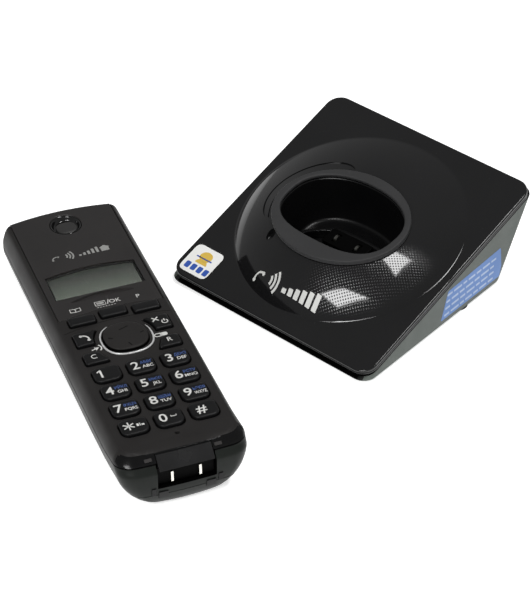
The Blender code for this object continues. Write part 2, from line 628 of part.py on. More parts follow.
def build_handset():
    along = Vector((-math.sin(HANDSET_TURN), math.cos(HANDSET_TURN), 0.0))
    centre = Vector((BASE_PLACE[0] + HANDSET_FROM_BASE[0], BASE_PLACE[1] + HANDSET_FROM_BASE[1], 0.0))
    start = centre - along * (HANDSET_LENGTH / 2) + Vector((0.0, 0.0, FACE_HEIGHT_LOW))
    frame = empty("handset_frame", Matrix.Translation(start * MM) @ Matrix.Rotation(HANDSET_TURN, 4, "Z")
                  @ Matrix.Rotation(-FACE_PITCH, 4, "X"))
    build_front_shell(frame)
    build_rear(frame, frame)
    build_display(frame)
    build_keys(frame)
    build_navigation(frame)
    build_handset_insides(frame)
    build_handset_end(frame)


clear_scene()
PARTS = collection("cordless_phone_with_base")
CUTTERS = collection("cutters", hidden=True)
BLACK_GLOSS = material("black_gloss", (0.030, 0.031, 0.034), 0.12)
BLACK_SATIN = material("black_satin", (0.020, 0.020, 0.021), 0.45)
MATT_GREY = material("matt_grey", (0.085, 0.087, 0.088), 0.6)
GREY_GREEN = material("grey_green", (0.26, 0.28, 0.27), 0.6)
HANDSET_GREY = material("handset_grey", (0.090, 0.092, 0.092), 0.45)
PANEL_GREY = material("panel_grey", (0.080, 0.080, 0.082), 0.4)
KEY_GREY = material("key_grey", (0.070, 0.070, 0.072), 0.5)
RUBBER = material("rubber", (0.03, 0.03, 0.03), 0.8)
BOARD = material("board", (0.03, 0.14, 0.06), 0.5)
GLASS = material("glass", (0.45, 0.48, 0.43), 0.1)
LCD = material("lcd", (0.42, 0.46, 0.38), 0.3)
CELL = material("cell", (0.10, 0.22, 0.12), 0.4)
METAL = material("contact_metal", (0.75, 0.74, 0.70), 0.25, 1.0)
STEEL = material("steel", (0.55, 0.55, 0.56), 0.35, 1.0)
CHROME = material("chrome", (0.85, 0.85, 0.86), 0.08, 1.0)
build_base()
build_handset()
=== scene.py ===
"""Looks of the cordless phone with its base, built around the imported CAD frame.

Sizes are millimetres in each piece's own frame and become metres as a mesh is made.
Plate frame: x across, y up the sloping plate, z out of it. Collar frame: the same for the tilted collar.
Handset frame: x across, y from the lower end to the earpiece, z out of the face (face at z = 0).
"""
import json
from math import asin, atan, atan2, cos, degrees, hypot, pi, radians, sin, sqrt

import bmesh
import bpy
from mathutils import Matrix, Vector
from mathutils.bvhtree import BVHTree


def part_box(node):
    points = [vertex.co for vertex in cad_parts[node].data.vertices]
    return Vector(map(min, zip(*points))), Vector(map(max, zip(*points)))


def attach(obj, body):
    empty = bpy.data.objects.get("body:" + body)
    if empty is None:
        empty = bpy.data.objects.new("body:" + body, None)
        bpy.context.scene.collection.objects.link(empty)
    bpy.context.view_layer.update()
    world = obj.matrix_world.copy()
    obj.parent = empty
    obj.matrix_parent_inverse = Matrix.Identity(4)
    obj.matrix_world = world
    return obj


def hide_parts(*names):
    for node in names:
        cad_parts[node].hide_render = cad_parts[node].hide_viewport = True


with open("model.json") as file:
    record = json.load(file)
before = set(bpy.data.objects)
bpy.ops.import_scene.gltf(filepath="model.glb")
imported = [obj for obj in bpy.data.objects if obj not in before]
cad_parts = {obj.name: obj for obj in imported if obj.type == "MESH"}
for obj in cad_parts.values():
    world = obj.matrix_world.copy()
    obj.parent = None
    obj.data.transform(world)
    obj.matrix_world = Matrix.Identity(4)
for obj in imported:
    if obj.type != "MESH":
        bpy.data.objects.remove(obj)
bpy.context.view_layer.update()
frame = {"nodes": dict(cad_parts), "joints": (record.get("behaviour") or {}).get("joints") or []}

MM = 0.001
SCENE = bpy.context.scene
NODES = frame["nodes"]
JOINTS = {joint["name"]: joint for joint in frame["joints"]}

PLATE_TILT = radians(16.9)
PLATE_HEIGHT = 20.6
COLLAR_TILT = radians(8.0)
COLLAR_CENTRE = (0.0, -6.3, 30.7)
HALF_WIDTH = 24.3
SEAM_LOW, SEAM_END = 0.0, 159.0
NOSE_STEP = 2.0
CREASE = (4.7, -1.1)
FACE_LOW = 26.1
FACE_PITCH = atan(6.2 / 158.0)
NAV = (0.0, 70.0)
KEY_TOP, KEY_FOOT = 1.2, -3.2
WALL = 1.8
GAP = 0.3
EARPIECE = (0.0, 148.0)
PLAN_MAP = "plan"
PLANNED_LOOKS = ("base_gloss", "display")


# ---- frames ----
def axes_matrix(origin, x_axis, y_axis, z_axis):
    made = Matrix.Identity(4)
    for column, vector in enumerate((x_axis, y_axis, z_axis, origin)):
        made.col[column][:3] = vector
    return made


def centre_of(node):
    low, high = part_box(node)
    return (low + high) / 2


def shift(x, y, z=0.0):
    return Matrix.Translation(Vector((x, y, z)) * MM)


def base_matrix():
    front_feet = (centre_of("foot_front_left") + centre_of("foot_front_right")) / 2
    return Matrix.Translation((front_feet.x, front_feet.y + 40.0 * MM, 0.0))


def handset_matrix():
    across = Vector(JOINTS["nav_rock_up_down"]["axis"]).normalized()
    along = Vector(JOINTS["nav_rock_left_right"]["axis"]).normalized()
    out = across.cross(along)
    pivot = Vector(JOINTS["nav_rock_up_down"]["pos_m"])
    return axes_matrix(pivot - along * NAV[1] * MM + out * 1.75 * MM, across, along, out)


BASE = base_matrix()
PLATE = BASE @ Matrix.Translation((0, 0, PLATE_HEIGHT * MM)) @ Matrix.Rotation(PLATE_TILT, 4, "X")
COLLAR = BASE @ shift(*COLLAR_CENTRE) @ Matrix.Rotation(COLLAR_TILT, 4, "X")
HANDSET = handset_matrix()


# ---- materials ----
class Nodes:
    """Short calls that add nodes to a tree; a socket given as a value is linked, anything else is set."""

    def __init__(self, tree):
        self.tree = tree

    def fill(self, target, inputs):
        for key, value in inputs.items():
            if isinstance(value, bpy.types.NodeSocket):
                self.tree.links.new(value, target.inputs[key])
            else:
                target.inputs[key].default_value = value

    def add(self, kind, **inputs):
        made = self.tree.nodes.new("ShaderNode" + kind)
        self.fill(made, inputs)
        return made

    def math(self, operation, a, b=None):
        made = self.add("Math")
        made.operation = operation
        self.fill(made, {0: a} if b is None else {0: a, 1: b})
        return made.outputs[0]

    def ranged(self, value, low, high, to_low=0.0, to_high=1.0):
        made = self.add("MapRange")
        self.fill(made, {"Value": value, "From Min": low, "From Max": high, "To Min": to_low, "To Max": to_high})
        return made.outputs["Result"]

    def mixed(self, share, *colours):
        made = self.add("Mix")
        made.data_type = "RGBA"
        first, second = [(*c, 1.0) if isinstance(c, tuple) else c for c in colours]
        self.fill(made, {"Factor": share, 6: first, 7: second})
        return made.outputs[2]


class Look(Nodes):
    """A material under construction: its principled shader, and the object's coordinates to drive it."""

    def __init__(self, name, colour, roughness, metallic=0.0, specular=0.5):
        self.made = bpy.data.materials.new(name)
        self.made.use_nodes = True
        super().__init__(self.made.node_tree)
        self.shader = self.tree.nodes["Principled BSDF"]
        self.feed({"Base Color": (*colour, 1.0), "Roughness": roughness, "Metallic": metallic,
            "Specular IOR Level": specular})
        self.where = self.add("TexCoord").outputs["Object"]

    def feed(self, inputs):
        self.fill(self.shader, inputs)

    def noise(self, scale, detail=2.0, roughness=0.5):
        return self.add("TexNoise", Vector=self.where, Scale=scale, Detail=detail, Roughness=roughness).outputs["Fac"]

    def spread(self, socket, low=0.0, high=1.0):
        """Stretch the middle of a noise's range over a range of values."""
        return self.ranged(socket, 0.3, 0.7, low, high)

    def bump(self, height, strength, distance=0.0001):
        made = self.add("Bump", Height=height, Strength=strength, Distance=distance)
        self.feed({"Normal": made.outputs["Normal"]})

    def plan(self):
        """Place in the piece's own frame, in metres, from its plan map."""
        made = self.add("UVMap")
        made.uv_map = PLAN_MAP
        return self.add("SeparateXYZ", Vector=made.outputs["UV"]).outputs[:2]


def tinted(colour, factor):
    return tuple(min(channel * factor, 1.0) for channel in colour)


def moulded(name, colour, roughness, grain=3500.0, depth=0.03, vary=0.12, wear_and_highlight=0.25, rough_vary=0.05, **rest):
    """Moulded plastic: fine grain, slow colour drift, uneven sheen, and edges lightened in colour, partly wear and
    partly painted highlight.
    """
    look = Look(name, colour, roughness, **rest)
    drift = look.spread(look.noise(45.0, 3.0))
    body = look.mixed(drift, tinted(colour, 1 - vary), tinted(colour, 1 + vary))
    # Convex edges, found by pointiness, are lightened in colour: part wear, part painted highlight along the edges.
    worn_and_highlit = look.ranged(look.add("NewGeometry").outputs["Pointiness"], 0.52, 0.6, 0.0, wear_and_highlight)
    look.feed({"Base Color": look.mixed(worn_and_highlit, body, tinted(colour, 2.2)),
        "Roughness": look.spread(look.noise(120.0, 4.0), roughness - rough_vary, roughness + rough_vary)})
    if depth:
        look.bump(look.noise(grain, 3.0, 0.6), depth, 0.0002)
    return look.made


def gloss_with_dots(name, colour, roughness):
    """Polished black cover with a field of small matt dots on the front right of the dome."""
    look = Look(name, colour, roughness, specular=0.40)
    x, y = look.plan()
    square = lambda value: look.math("MULTIPLY", value, value)
    length = lambda a, b: look.math("SQRT", look.math("ADD", square(a), square(b)))
    turn = HALF_DIAGONAL / (DOT_PITCH * MM)
    cells = []
    for sign in (1.0, -1.0):
        run = look.math("MULTIPLY", look.math("ADD", x, look.math("MULTIPLY", y, sign)), turn)
        cells.append(look.math("SUBTRACT", look.math("FRACT", run), 0.5))
    dot = look.ranged(length(*cells), 0.20, 0.30, 1.0, 0.0)
    bearing = look.math("ARCTAN2", y, x)
    field = look.math("MULTIPLY", look.ranged(bearing, -1.75, -1.15), look.ranged(bearing, -0.25, 0.15, 1.0, 0.0))
    ring = look.ranged(length(x, y), 0.0415, 0.0455, 1.0, 0.0)
    mask = look.math("MULTIPLY", dot, look.math("MULTIPLY", field, ring))
    smear = look.spread(look.noise(60.0, 4.0), roughness, roughness + 0.03)
    body = look.mixed(look.spread(look.noise(40.0, 3.0)), tinted(colour, 0.9), tinted(colour, 1.1))
    dotted = look.mixed(look.math("MULTIPLY", mask, DOT_SHARE), body, DOT_COLOUR)
    specks = look.ranged(look.noise(2400.0, 1.0), 0.80, 0.84, 0.0, 0.4)
    look.feed({"Roughness": look.math("ADD", smear, look.math("MULTIPLY", mask, DOT_ROUGHNESS)),
        "Base Color": look.mixed(specks, dotted, DUST_COLOUR)})
    look.bump(look.math("SUBTRACT", look.noise(25.0, 1.0), mask), 0.3, 0.00005)
    return look.made


def display_face(name):
    """Unlit liquid-crystal face: grey-green with painted shade darkening it towards its upper edge under the bezel,
    and faint cell columns.
    """
    look = Look(name, LCD_LIT_LOW, 0.32, specular=0.3)
    u, v = look.plan()
    # Painted shade: the face runs from its lit lower colour to a shaded upper colour, as under the bezel.
    body = look.mixed(look.ranged(v, 0.1025, 0.1165), LCD_LIT_LOW, LCD_SHADED_TOP)
    columns = look.math("FRACT", look.math("MULTIPLY", u, 520.0))
    look.feed({"Base Color": look.mixed(look.ranged(columns, 0.88, 0.94, 0.0, 0.10), body, tinted(LCD_SHADED_TOP, 0.4))})
    look.bump(look.noise(900.0), 0.05)
    return look.made


def clear_window(name):
    look = Look(name, (0.9, 0.93, 0.9), 0.04)
    look.feed({"Transmission Weight": 1.0, "IOR": 1.2,
        "Roughness": look.ranged(look.noise(90.0, 4.0), 0.35, 0.7, 0.02, 0.10)})
    return look.made


def brushed(name, colour, roughness):
    look = Look(name, colour, roughness, metallic=1.0)
    look.where = look.add("Mapping", Vector=look.where, Scale=(40.0, 1.0, 1.0)).outputs["Vector"]
    streak = look.noise(300.0, 4.0)
    look.feed({"Roughness": look.spread(streak, roughness * 0.7, roughness * 1.4),
        "Base Color": look.mixed(look.spread(streak), tinted(colour, 0.85), tinted(colour, 1.1))})
    look.bump(streak, 0.06)
    return look.made


def board_look(name):
    """Circuit board: solder mask over copper tracks."""
    look = Look(name, (0.02, 0.11, 0.04), 0.35)
    bricks = look.add("TexBrick", Vector=look.where, Scale=220.0, Color1=(0.015, 0.10, 0.035, 1.0),
        Color2=(0.02, 0.13, 0.05, 1.0), Mortar=(0.10, 0.22, 0.06, 1.0))
    look.fill(bricks, {"Mortar Size": 0.03})
    look.feed({"Base Color": bricks.outputs["Color"]})
    look.bump(bricks.outputs["Fac"], 0.2)
    return look.made


DOT_PITCH, HALF_DIAGONAL = 1.0, 0.7071
DOT_ROUGHNESS, DOT_SHARE = 0.30, 0.7
DOT_COLOUR, DUST_COLOUR = (0.013, 0.013, 0.0135), (0.10, 0.10, 0.10)
# Lit lower colour and painted-shade upper colour of the display face.
LCD_LIT_LOW, LCD_SHADED_TOP = (0.190, 0.200, 0.182), (0.038, 0.039, 0.036)
PRINT = {"depth": 0.03, "wear_and_highlight": 0.0, "vary": 0.05}
STICKER = {"depth": 0.02, "wear_and_highlight": 0.0, "vary": 0.05}
LABEL = {"depth": 0.03, "wear_and_highlight": 0.0, "vary": 0.06, "specular": 0.3}
MOULDED_LOOKS = {
    "well_gloss": ((0.0030, 0.0030, 0.0032), 0.30, {"grain": 900.0, "depth": 0.02, "specular": 0.2}),
    "matt_grey": ((0.0235, 0.0235, 0.0242), 0.62, {"depth": 0.12, "specular": 0.35}),
    "black_satin": ((0.006, 0.006, 0.006), 0.35, {"depth": 0.05, "specular": 0.3}),
    # Near black with almost no reflection: painted shade for recesses, gaps, flanks and parts deep in shade.
    "shade_black": ((0.0008, 0.0008, 0.0008), 0.55, {"depth": 0.05, "specular": 0.04}),
    "grey_green": ((0.078, 0.090, 0.081), 0.55, {"grain": 2600.0, "depth": 0.15, "specular": 0.35}),
    "shell": ((0.0188, 0.0177, 0.0173), 0.42, {"depth": 0.06, "specular": 0.08}),
    "side": ((0.0115, 0.0132, 0.0118), 0.34, {"depth": 0.06, "specular": 0.10}),
    "nose_gloss": ((0.0045, 0.0045, 0.0047), 0.14, {"depth": 0.02, "specular": 0.14, "rough_vary": 0.04}),
    "end_satin": ((0.0080, 0.0080, 0.0082), 0.24, {"grain": 1200.0, "depth": 0.05, "rough_vary": 0.06,
    "specular": 0.28}),
    "panel": ((0.0145, 0.0130, 0.0127), 0.40, {"depth": 0.05, "specular": 0.36}),
    "key": ((0.0040, 0.0040, 0.0043), 0.42, {"grain": 2800.0, "depth": 0.06, "specular": 0.2}),
    "cup": ((0.003, 0.003, 0.003), 0.10, {"depth": 0.0, "rough_vary": 0.03}),
    "pad": ((0.016, 0.0155, 0.015), 0.5, {"depth": 0.1}),
    # Darker colour for the case's front wall: painted shade on the side turned under the plate.
    "shaded_front_wall": ((0.0090, 0.0095, 0.0092), 0.35, {"depth": 0.05, "specular": 0.3}),
    "rubber": ((0.012, 0.012, 0.012), 0.7, {"grain": 1500.0, "depth": 0.2}),
    # Chrome trim given a pale, part-metallic colour: painted reflection, so it reads bright all round.
    "chrome": ((0.60, 0.60, 0.60), 0.30, {"depth": 0.02, "metallic": 0.3, "wear_and_highlight": 0.0, "vary": 0.04}),
    "cell": ((0.04, 0.16, 0.07), 0.3, {}),
    "white_print": ((0.58, 0.58, 0.56), 0.5, PRINT),
    "grey_print": ((0.26, 0.26, 0.25), 0.5, PRINT),
    "blue_print": ((0.040, 0.085, 0.26), 0.5, PRINT),
    "dark_print": ((0.0015, 0.0015, 0.0015), 0.6, {"depth": 0.02, "wear_and_highlight": 0.0, "specular": 0.1}),
    "sticker_white": ((0.78, 0.78, 0.76), 0.35, {**STICKER, "vary": 0.03}),
    "sticker_yellow": ((0.62, 0.42, 0.07), 0.35, STICKER),
    "sticker_blue": ((0.025, 0.08, 0.36), 0.35, STICKER),
    "label_blue": ((0.095, 0.19, 0.43), 0.45, LABEL),
    "label_pale": ((0.32, 0.40, 0.55), 0.45, LABEL),
}
LOOKS = {name: moulded(name, colour, roughness, **rest) for name, (colour, roughness, rest) in MOULDED_LOOKS.items()}
LOOKS["base_gloss"] = gloss_with_dots("base_gloss", (0.0064, 0.0064, 0.0067), 0.05)
LOOKS["display"] = display_face("display")
LOOKS["window"] = clear_window("window")
LOOKS["board"] = board_look("board")
for metal, tone, sheen in (("contact", (0.80, 0.78, 0.72), 0.2), ("contact_dull", (0.12, 0.12, 0.11), 0.4),
        ("steel", (0.5, 0.5, 0.5), 0.3)):
    LOOKS[metal] = brushed(metal, tone, sheen)


# ---- outlines: lists of (x, y), anticlockwise ----
def ellipse(half_x, half_y, centre=(0.0, 0.0), count=96):
    steps = [2 * pi * i / count for i in range(count)]
    return [(centre[0] + half_x * cos(a), centre[1] + half_y * sin(a)) for a in steps]


def rounded_box(half_x, low, high, r_low, r_high, corner=8, side=1, end=1):
    centres = [(half_x - r_low, low + r_low, r_low, -90), (half_x - r_high, high - r_high, r_high, 0),
        (-half_x + r_high, high - r_high, r_high, 90), (-half_x + r_low, low + r_low, r_low, 180)]
    points = []
    for index, (cx, cy, radius, first) in enumerate(centres):
        points += arc((cx, cy), radius, first, first + 90, corner)
        nx, ny, next_radius, next_first = centres[(index + 1) % 4]
        begin, finish = points[-1], arc((nx, ny), next_radius, next_first, next_first, 1)[0]
        pieces = side if index % 2 == 0 else end
        for step in range(1, pieces):
            part = step / pieces
            points.append((begin[0] + (finish[0] - begin[0]) * part, begin[1] + (finish[1] - begin[1]) * part))
    return points


def oval(half_x, half_y, centre_y=0.0, front=2.0, back=2.0, guide=None, count=192):
    bearings = [atan2(y, x) for x, y in guide] if guide else [2 * pi * i / count for i in range(count)]
    points = []
    for bearing in bearings:
        c, s = cos(bearing), sin(bearing)
        power = front if s < 0 else back
        reach = (abs(c / half_x) ** power + abs(s / half_y) ** power) ** (-1 / power)
        points.append((reach * c, centre_y + reach * s))
    return points


def well_outline(grow, guide=None):
    return oval(25.6 + grow, 18.3 + grow, 1.9, 2.8, 2.15, guide)


def moved(outline, centre):
    return [(x + centre[0], y + centre[1]) for x, y in outline]


def box_outline(x0, x1, y0, y1):
    return [(x0, y0), (x1, y0), (x1, y1), (x0, y1)]


def arc(centre, radius, first, last, steps):
    angles = [radians(first + (last - first) * i / steps) for i in range(steps + 1)]
    return [(centre[0] + radius * cos(a), centre[1] + radius * sin(a)) for a in angles]


def mirrored(outline):
    return [(-x, y) for x, y in outline][::-1]


def rounded(outline, radius, steps=5):
    """Round each corner of a polygon; arcs finer than its corners pass nearly unchanged."""
    points = []
    count = len(outline)
    for i, point in enumerate(outline):
        here = Vector(point)
        back, on = Vector(outline[i - 1]) - here, Vector(outline[(i + 1) % count]) - here
        reach = min(radius, back.length * 0.45, on.length * 0.45)
        start, finish = here + back.normalized() * reach, here + on.normalized() * reach
        for step in range(steps + 1):
            t = step / steps
            points.append(tuple(start * (1 - t) ** 2 + here * 2 * t * (1 - t) + finish * t ** 2))
    return points


def shrunk(outline, inset):
    """Move every edge of an outline inwards."""
    points = []
    count = len(outline)
    for i, point in enumerate(outline):
        here = Vector(point)
        a = (here - Vector(outline[i - 1]))
        b = (Vector(outline[(i + 1) % count]) - here)
        if a.length < 1e-9 or b.length < 1e-9:
            points.append(point)
            continue
        na, nb = Vector((-a.y, a.x)).normalized(), Vector((-b.y, b.x)).normalized()
        middle = (na + nb).normalized()
        points.append(tuple(here + middle * inset / max(middle.dot(na), 0.4)))
    return points


def level(outline, height):
    if callable(height):
        return [(x, y, height(x, y)) for x, y in outline]
    return [(x, y, height) for x, y in outline]


def stack(outline_at, rows):
    return [level(outline_at(grow), height) for grow, height in rows]


def prism(outline, low, high):
    return [level(outline, low), level(outline, high)]


def cross_prism(profile, low_x, high_x):
    return [[(low_x, y, z) for y, z in profile], [(high_x, y, z) for y, z in profile]]


def smooth(value):
    value = min(max(value, 0.0), 1.0)
    return value * value * (3 - 2 * value)


def fillet(radius, steps):
    """(inset, drop) pairs of a rounded upper edge, from its foot to its top."""
    angles = [pi / 2 * i / steps for i in range(steps + 1)]
    return [(radius * (1 - cos(a)), radius * (1 - sin(a))) for a in angles]


# ---- meshes ----
def as_mesh(name, bm):
    mesh = bpy.data.meshes.new(name)
    bm.to_mesh(mesh)
    bm.free()
    return mesh


def mesh_of(name, skins, closed=False):
    bm = bmesh.new()
    for rings in skins:
        loops = [[bm.verts.new(Vector(point) * MM) for point in ring] for ring in rings]
        pairs = list(zip(loops, loops[1:])) + ([(loops[-1], loops[0])] if closed else [])
        for below, above in pairs:
            for i in range(len(below)):
                j = (i + 1) % len(below)
                bm.faces.new((below[i], below[j], above[j], above[i]))
        if not closed:
            bm.faces.new(loops[0])
            bm.faces.new(loops[-1])
    bmesh.ops.recalc_face_normals(bm, faces=bm.faces)
    return as_mesh(name, bm)


def put(name, mesh, place):
    made = bpy.data.objects.new(name, mesh)
    SCENE.collection.objects.link(made)
    made.matrix_world = place
    return made


def carve(target, skins, operation="DIFFERENCE"):
    tool = put("tool", mesh_of("tool", skins), target.matrix_world)
    step = target.modifiers.new("carve", "BOOLEAN")
    step.operation = operation
    step.object = tool
    step.solver = "EXACT"
    bpy.context.view_layer.update()
    fresh = bpy.data.meshes.new_from_object(target.evaluated_get(bpy.context.evaluated_depsgraph_get()))
    target.modifiers.clear()
    old, target.data = target.data, fresh
    bpy.data.meshes.remove(old)
    spent = tool.data
    bpy.data.objects.remove(tool)
    bpy.data.meshes.remove(spent)


def piece(name, skins, place, body, look, stands_for=(), closed=False, cuts=(), keep=None, angle=32):
    """One finished piece: its skins, what is cut from it, what limits it, its material and its body."""
    made = put(name, mesh_of(name, skins, closed), place)
    if keep:
        carve(made, keep, "INTERSECT")
    for tools in cuts:
        carve(made, tools)
    return finished(made, body, look, stands_for, angle)


def baked(made, with_plan):
    """Move a piece's points into the whole model's frame; its own x and y stay in a map if asked for."""
    data = made.data
    if with_plan:
        plan = data.uv_layers.new(name=PLAN_MAP)
        for corner in data.loops:
            plan.data[corner.index].uv = data.vertices[corner.vertex_index].co.xy
    data.transform(made.matrix_world)
    made.matrix_world = Matrix.Identity(4)


def finished(made, body, look, stands_for=(), angle=32):
    baked(made, look in PLANNED_LOOKS)
    made.data.materials.clear()
    made.data.materials.append(LOOKS[look])
    made.data.shade_smooth()
    made.data.set_sharp_from_angle(angle=radians(angle))
    even = made.modifiers.new("even_shading", "WEIGHTED_NORMAL")
    even.keep_sharp = True
    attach(made, body)
    if stands_for:
        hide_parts(*stands_for)
    return made


# ---- prints: thin raised films draped on a surface ----
def tree_under(target, place):
    bm = bmesh.new()
    bm.from_mesh(target.data)
    bm.transform(place.inverted())
    made = BVHTree.FromBMesh(bm)
    bm.free()
    return made


def text_outlines(words, height, centre, spread=1.0, bold=0.0, widest=9.0):
    """A flat mesh of a text, of a given capital height, centred on a point and kept within a width."""
    curve = bpy.data.curves.new("words", "FONT")
    curve.body = words
    curve.size = height / 0.72 * MM
    curve.offset = bold * MM
    curve.resolution_u = 3
    holder = bpy.data.objects.new("words", curve)
    SCENE.collection.objects.link(holder)
    bpy.context.view_layer.update()
    flat = bpy.data.meshes.new_from_object(holder.evaluated_get(bpy.context.evaluated_depsgraph_get()))
    xs = [v.co.x for v in flat.vertices]
    middle = Vector(((min(xs) + max(xs)) / 2, height * MM / 2, 0.0))
    spread = min(spread, widest * MM / (max(xs) - min(xs)))
    stretch = Matrix.Diagonal((spread, 1.0, 1.0, 1.0))
    flat.transform(shift(*centre) @ stretch @ Matrix.Translation(-middle))
    bpy.data.objects.remove(holder)
    bpy.data.curves.remove(curve)
    return flat


def flat_shapes(outlines):
    bm = bmesh.new()
    for outline in outlines:
        bm.faces.new([bm.verts.new((x * MM, y * MM, 0.0)) for x, y in outline])
    return as_mesh("shapes", bm)


def printed(name, flats, under, place, body, look, lift=0.03, cell=1.2, from_above=40.0):
    """Drape flat meshes or outlines onto a surface along -z of its frame, with a little thickness."""
    bm = bmesh.new()
    for flat in flats:
        flat = flat_shapes(flat) if isinstance(flat, list) else flat
        bm.from_mesh(flat)
        bpy.data.meshes.remove(flat)
    xs = [v.co.x for v in bm.verts]
    ys = [v.co.y for v in bm.verts]
    step = cell * MM
    for low, high, normal in ((min(xs), max(xs), (1, 0, 0)), (min(ys), max(ys), (0, 1, 0))):
        for i in range(1, int((high - low) / step) + 1):
            at = low + i * step
            geometry = bm.verts[:] + bm.edges[:] + bm.faces[:]
            bmesh.ops.bisect_plane(bm, geom=geometry, plane_co=Vector(normal) * at, plane_no=normal)
    bmesh.ops.triangulate(bm, faces=bm.faces)
    for vert in bm.verts:
        start = Vector((vert.co.x, vert.co.y, from_above * MM))
        hit = under.ray_cast(start, Vector((0, 0, -1)))[0]
        if hit:
            vert.co = hit
    for vert in bm.verts:
        vert.co.z += lift * MM
    grown = bmesh.ops.extrude_face_region(bm, geom=bm.faces[:])
    for item in grown["geom"]:
        if isinstance(item, bmesh.types.BMVert):
            item.co.z -= lift * 2.5 * MM
    bmesh.ops.recalc_face_normals(bm, faces=bm.faces)
    return finished(put(name, as_mesh(name, bm), place), body, look)


def bar(x0, x1, y0, y1, radius=0.2):
    return rounded(box_outline(x0, x1, y0, y1), radius)


def stroke(points, width):
    """A line of even width along points."""
    left, right = [], []
    for i, point in enumerate(points):
        a, b = Vector(points[max(i - 1, 0)]), Vector(points[min(i + 1, len(points) - 1)])
        side = (b - a).normalized()
        side = Vector((-side.y, side.x)) * width / 2
        left.append(tuple(Vector(point) + side))
        right.append(tuple(Vector(point) - side))
    return right + left[::-1]


def handset_glyph(centre, size, turn=35.0):
    """A plain telephone receiver: a bowed bar with two thicker ends."""
    bow = stroke(arc((0.0, -0.9 * size), 0.95 * size, 150, 30, 8), 0.24 * size)
    ends = [bar(-0.98 * size, -0.55 * size, -0.62 * size, -0.2 * size, 0.1 * size),
        bar(0.55 * size, 0.98 * size, -0.62 * size, -0.2 * size, 0.1 * size)]
    c, s = cos(radians(turn)), sin(radians(turn))
    return [[(centre[0] + x * c - (y + 0.2 * size) * s, centre[1] + x * s + (y + 0.2 * size) * c)
        for x, y in shape] for shape in [bow] + ends]


# ---- base ----
DOME_RADIUS, DOME_BULGE = 46.6, 0.35


def collar_to_plate(point):
    x, q, h = point
    y = COLLAR_CENTRE[1] + q * cos(COLLAR_TILT) - h * sin(COLLAR_TILT)
    z = COLLAR_CENTRE[2] + q * sin(COLLAR_TILT) + h * cos(COLLAR_TILT) - PLATE_HEIGHT
    return (x, y * cos(PLATE_TILT) + z * sin(PLATE_TILT),
        -y * sin(PLATE_TILT) + z * cos(PLATE_TILT))


def dome_ring(foot, seat, part):
    lift = part + DOME_BULGE * part * (1 - part)
    return [(a[0] + (b[0] - a[0]) * part, a[1] + (b[1] - a[1]) * part, a[2] + (b[2] - a[2]) * lift)
        for a, b in zip(foot, seat)]


def dome_point(bearing, part, out=0.0):
    """A point of the dome in the plate frame: part runs from 0 at its foot to 1 at the collar."""
    def at(angle, share):
        c, s = cos(angle), sin(angle)
        reach = 1 / hypot(c / 28.6, s / 24.7)
        foot = [(DOME_RADIUS * c, DOME_RADIUS * s, 0.0)]
        return Vector(dome_ring(foot, [collar_to_plate((reach * c, reach * s, -2.2))], share)[0])

    here = at(bearing, part)
    across = at(bearing + 0.01, part) - here
    up = at(bearing, part + 0.01) - here
    return tuple(here + across.cross(up).normalized() * out)


def crescent(inset, low, high):
    """Closed bar along the left and back of the collar, widest in its middle, between two depths."""
    steps = 40
    first, last = radians(118.0) + inset * 0.028, radians(213.0) - inset * 0.028
    rings = []
    for i in range(steps + 1):
        t = i / steps
        t = 0.5 - 0.5 * cos(pi * t)
        bearing = first + (last - first) * t
        width = max(0.27 * sqrt(max(1 - (2 * t - 1) ** 4, 0.0)) - 0.07 * inset, 0.01)
        near, far = 0.93 - 0.035 * inset, 0.93 - 0.035 * inset - width
        rings.append([dome_point(bearing, part, out) for part, out in
            ((far, low), (near, low), (near, high), (far, high))])
    return rings


def plate_ring(inset, height):
    outline = rounded_box(50.0 - inset, -53.5 + inset, 53.5 - inset, 6.5 - inset, 6.5 - inset, 12, 36, 36)
    return level(outline, height)


def build_base_top():
    guide = [(x, y) for x, y, _ in plate_ring(0.0, 0.0)]
    seat_drop = 2.2
    foot = level(oval(DOME_RADIUS, DOME_RADIUS, guide=guide), 0.0)
    seat = [collar_to_plate((x, y, -seat_drop)) for x, y in oval(28.6, 24.7, guide=guide)]
    hole_top = [collar_to_plate((x, y, -seat_drop)) for x, y in well_outline(1.6, guide)]
    hole_bottom = [collar_to_plate((x, y, -seat_drop - 2.2)) for x, y in well_outline(1.6, guide)]
    inner_foot = level(oval(DOME_RADIUS - 1.4, DOME_RADIUS - 1.4, guide=guide), -2.0)
    rings = [plate_ring(i, n) for i, n in ((0.15, -2.4), (0.0, -2.25), (0.0, -1.75), (0.1, -1.62), (0.45, -1.6),
        (0.45, -1.35), (0.08, -1.33), (0.0, -1.2))]
    rings += [plate_ring(inset, -drop) for inset, drop in fillet(0.7, 6)]
    rings += [level(oval(DOME_RADIUS + g, DOME_RADIUS + g, guide=guide), n)
        for g, n in ((3.0, 0.0), (0.40, 0.0), (0.22, 0.015), (0.10, 0.05))]
    rings += [dome_ring(foot, seat, 0.012 + 0.988 * i / 30) for i in range(31)]
    rings += [hole_top, hole_bottom]
    rings += [dome_ring(inner_foot, hole_bottom, part) for part in (0.66, 0.33)]
    rings += [inner_foot, plate_ring(2.4, -2.0), plate_ring(1.8, -2.4)]
    hollow = [level(ellipse(r, r * 1.35, (-17.6, -25.0), 40), z) for r, z in ((1.6, 9.3), (1.85, 10.2), (1.95, 16.0))]
    cover = piece("base_cover_top", [rings], PLATE, "base", "base_gloss", ["base_top_cover"],
        closed=True, cuts=[[crescent(0.0, -0.45, 2.0)], [hollow]], angle=40)
    piece("base_crescent", [crescent(1.0, -0.44, -0.10)], PLATE, "base", "base_gloss", angle=40)
    return cover


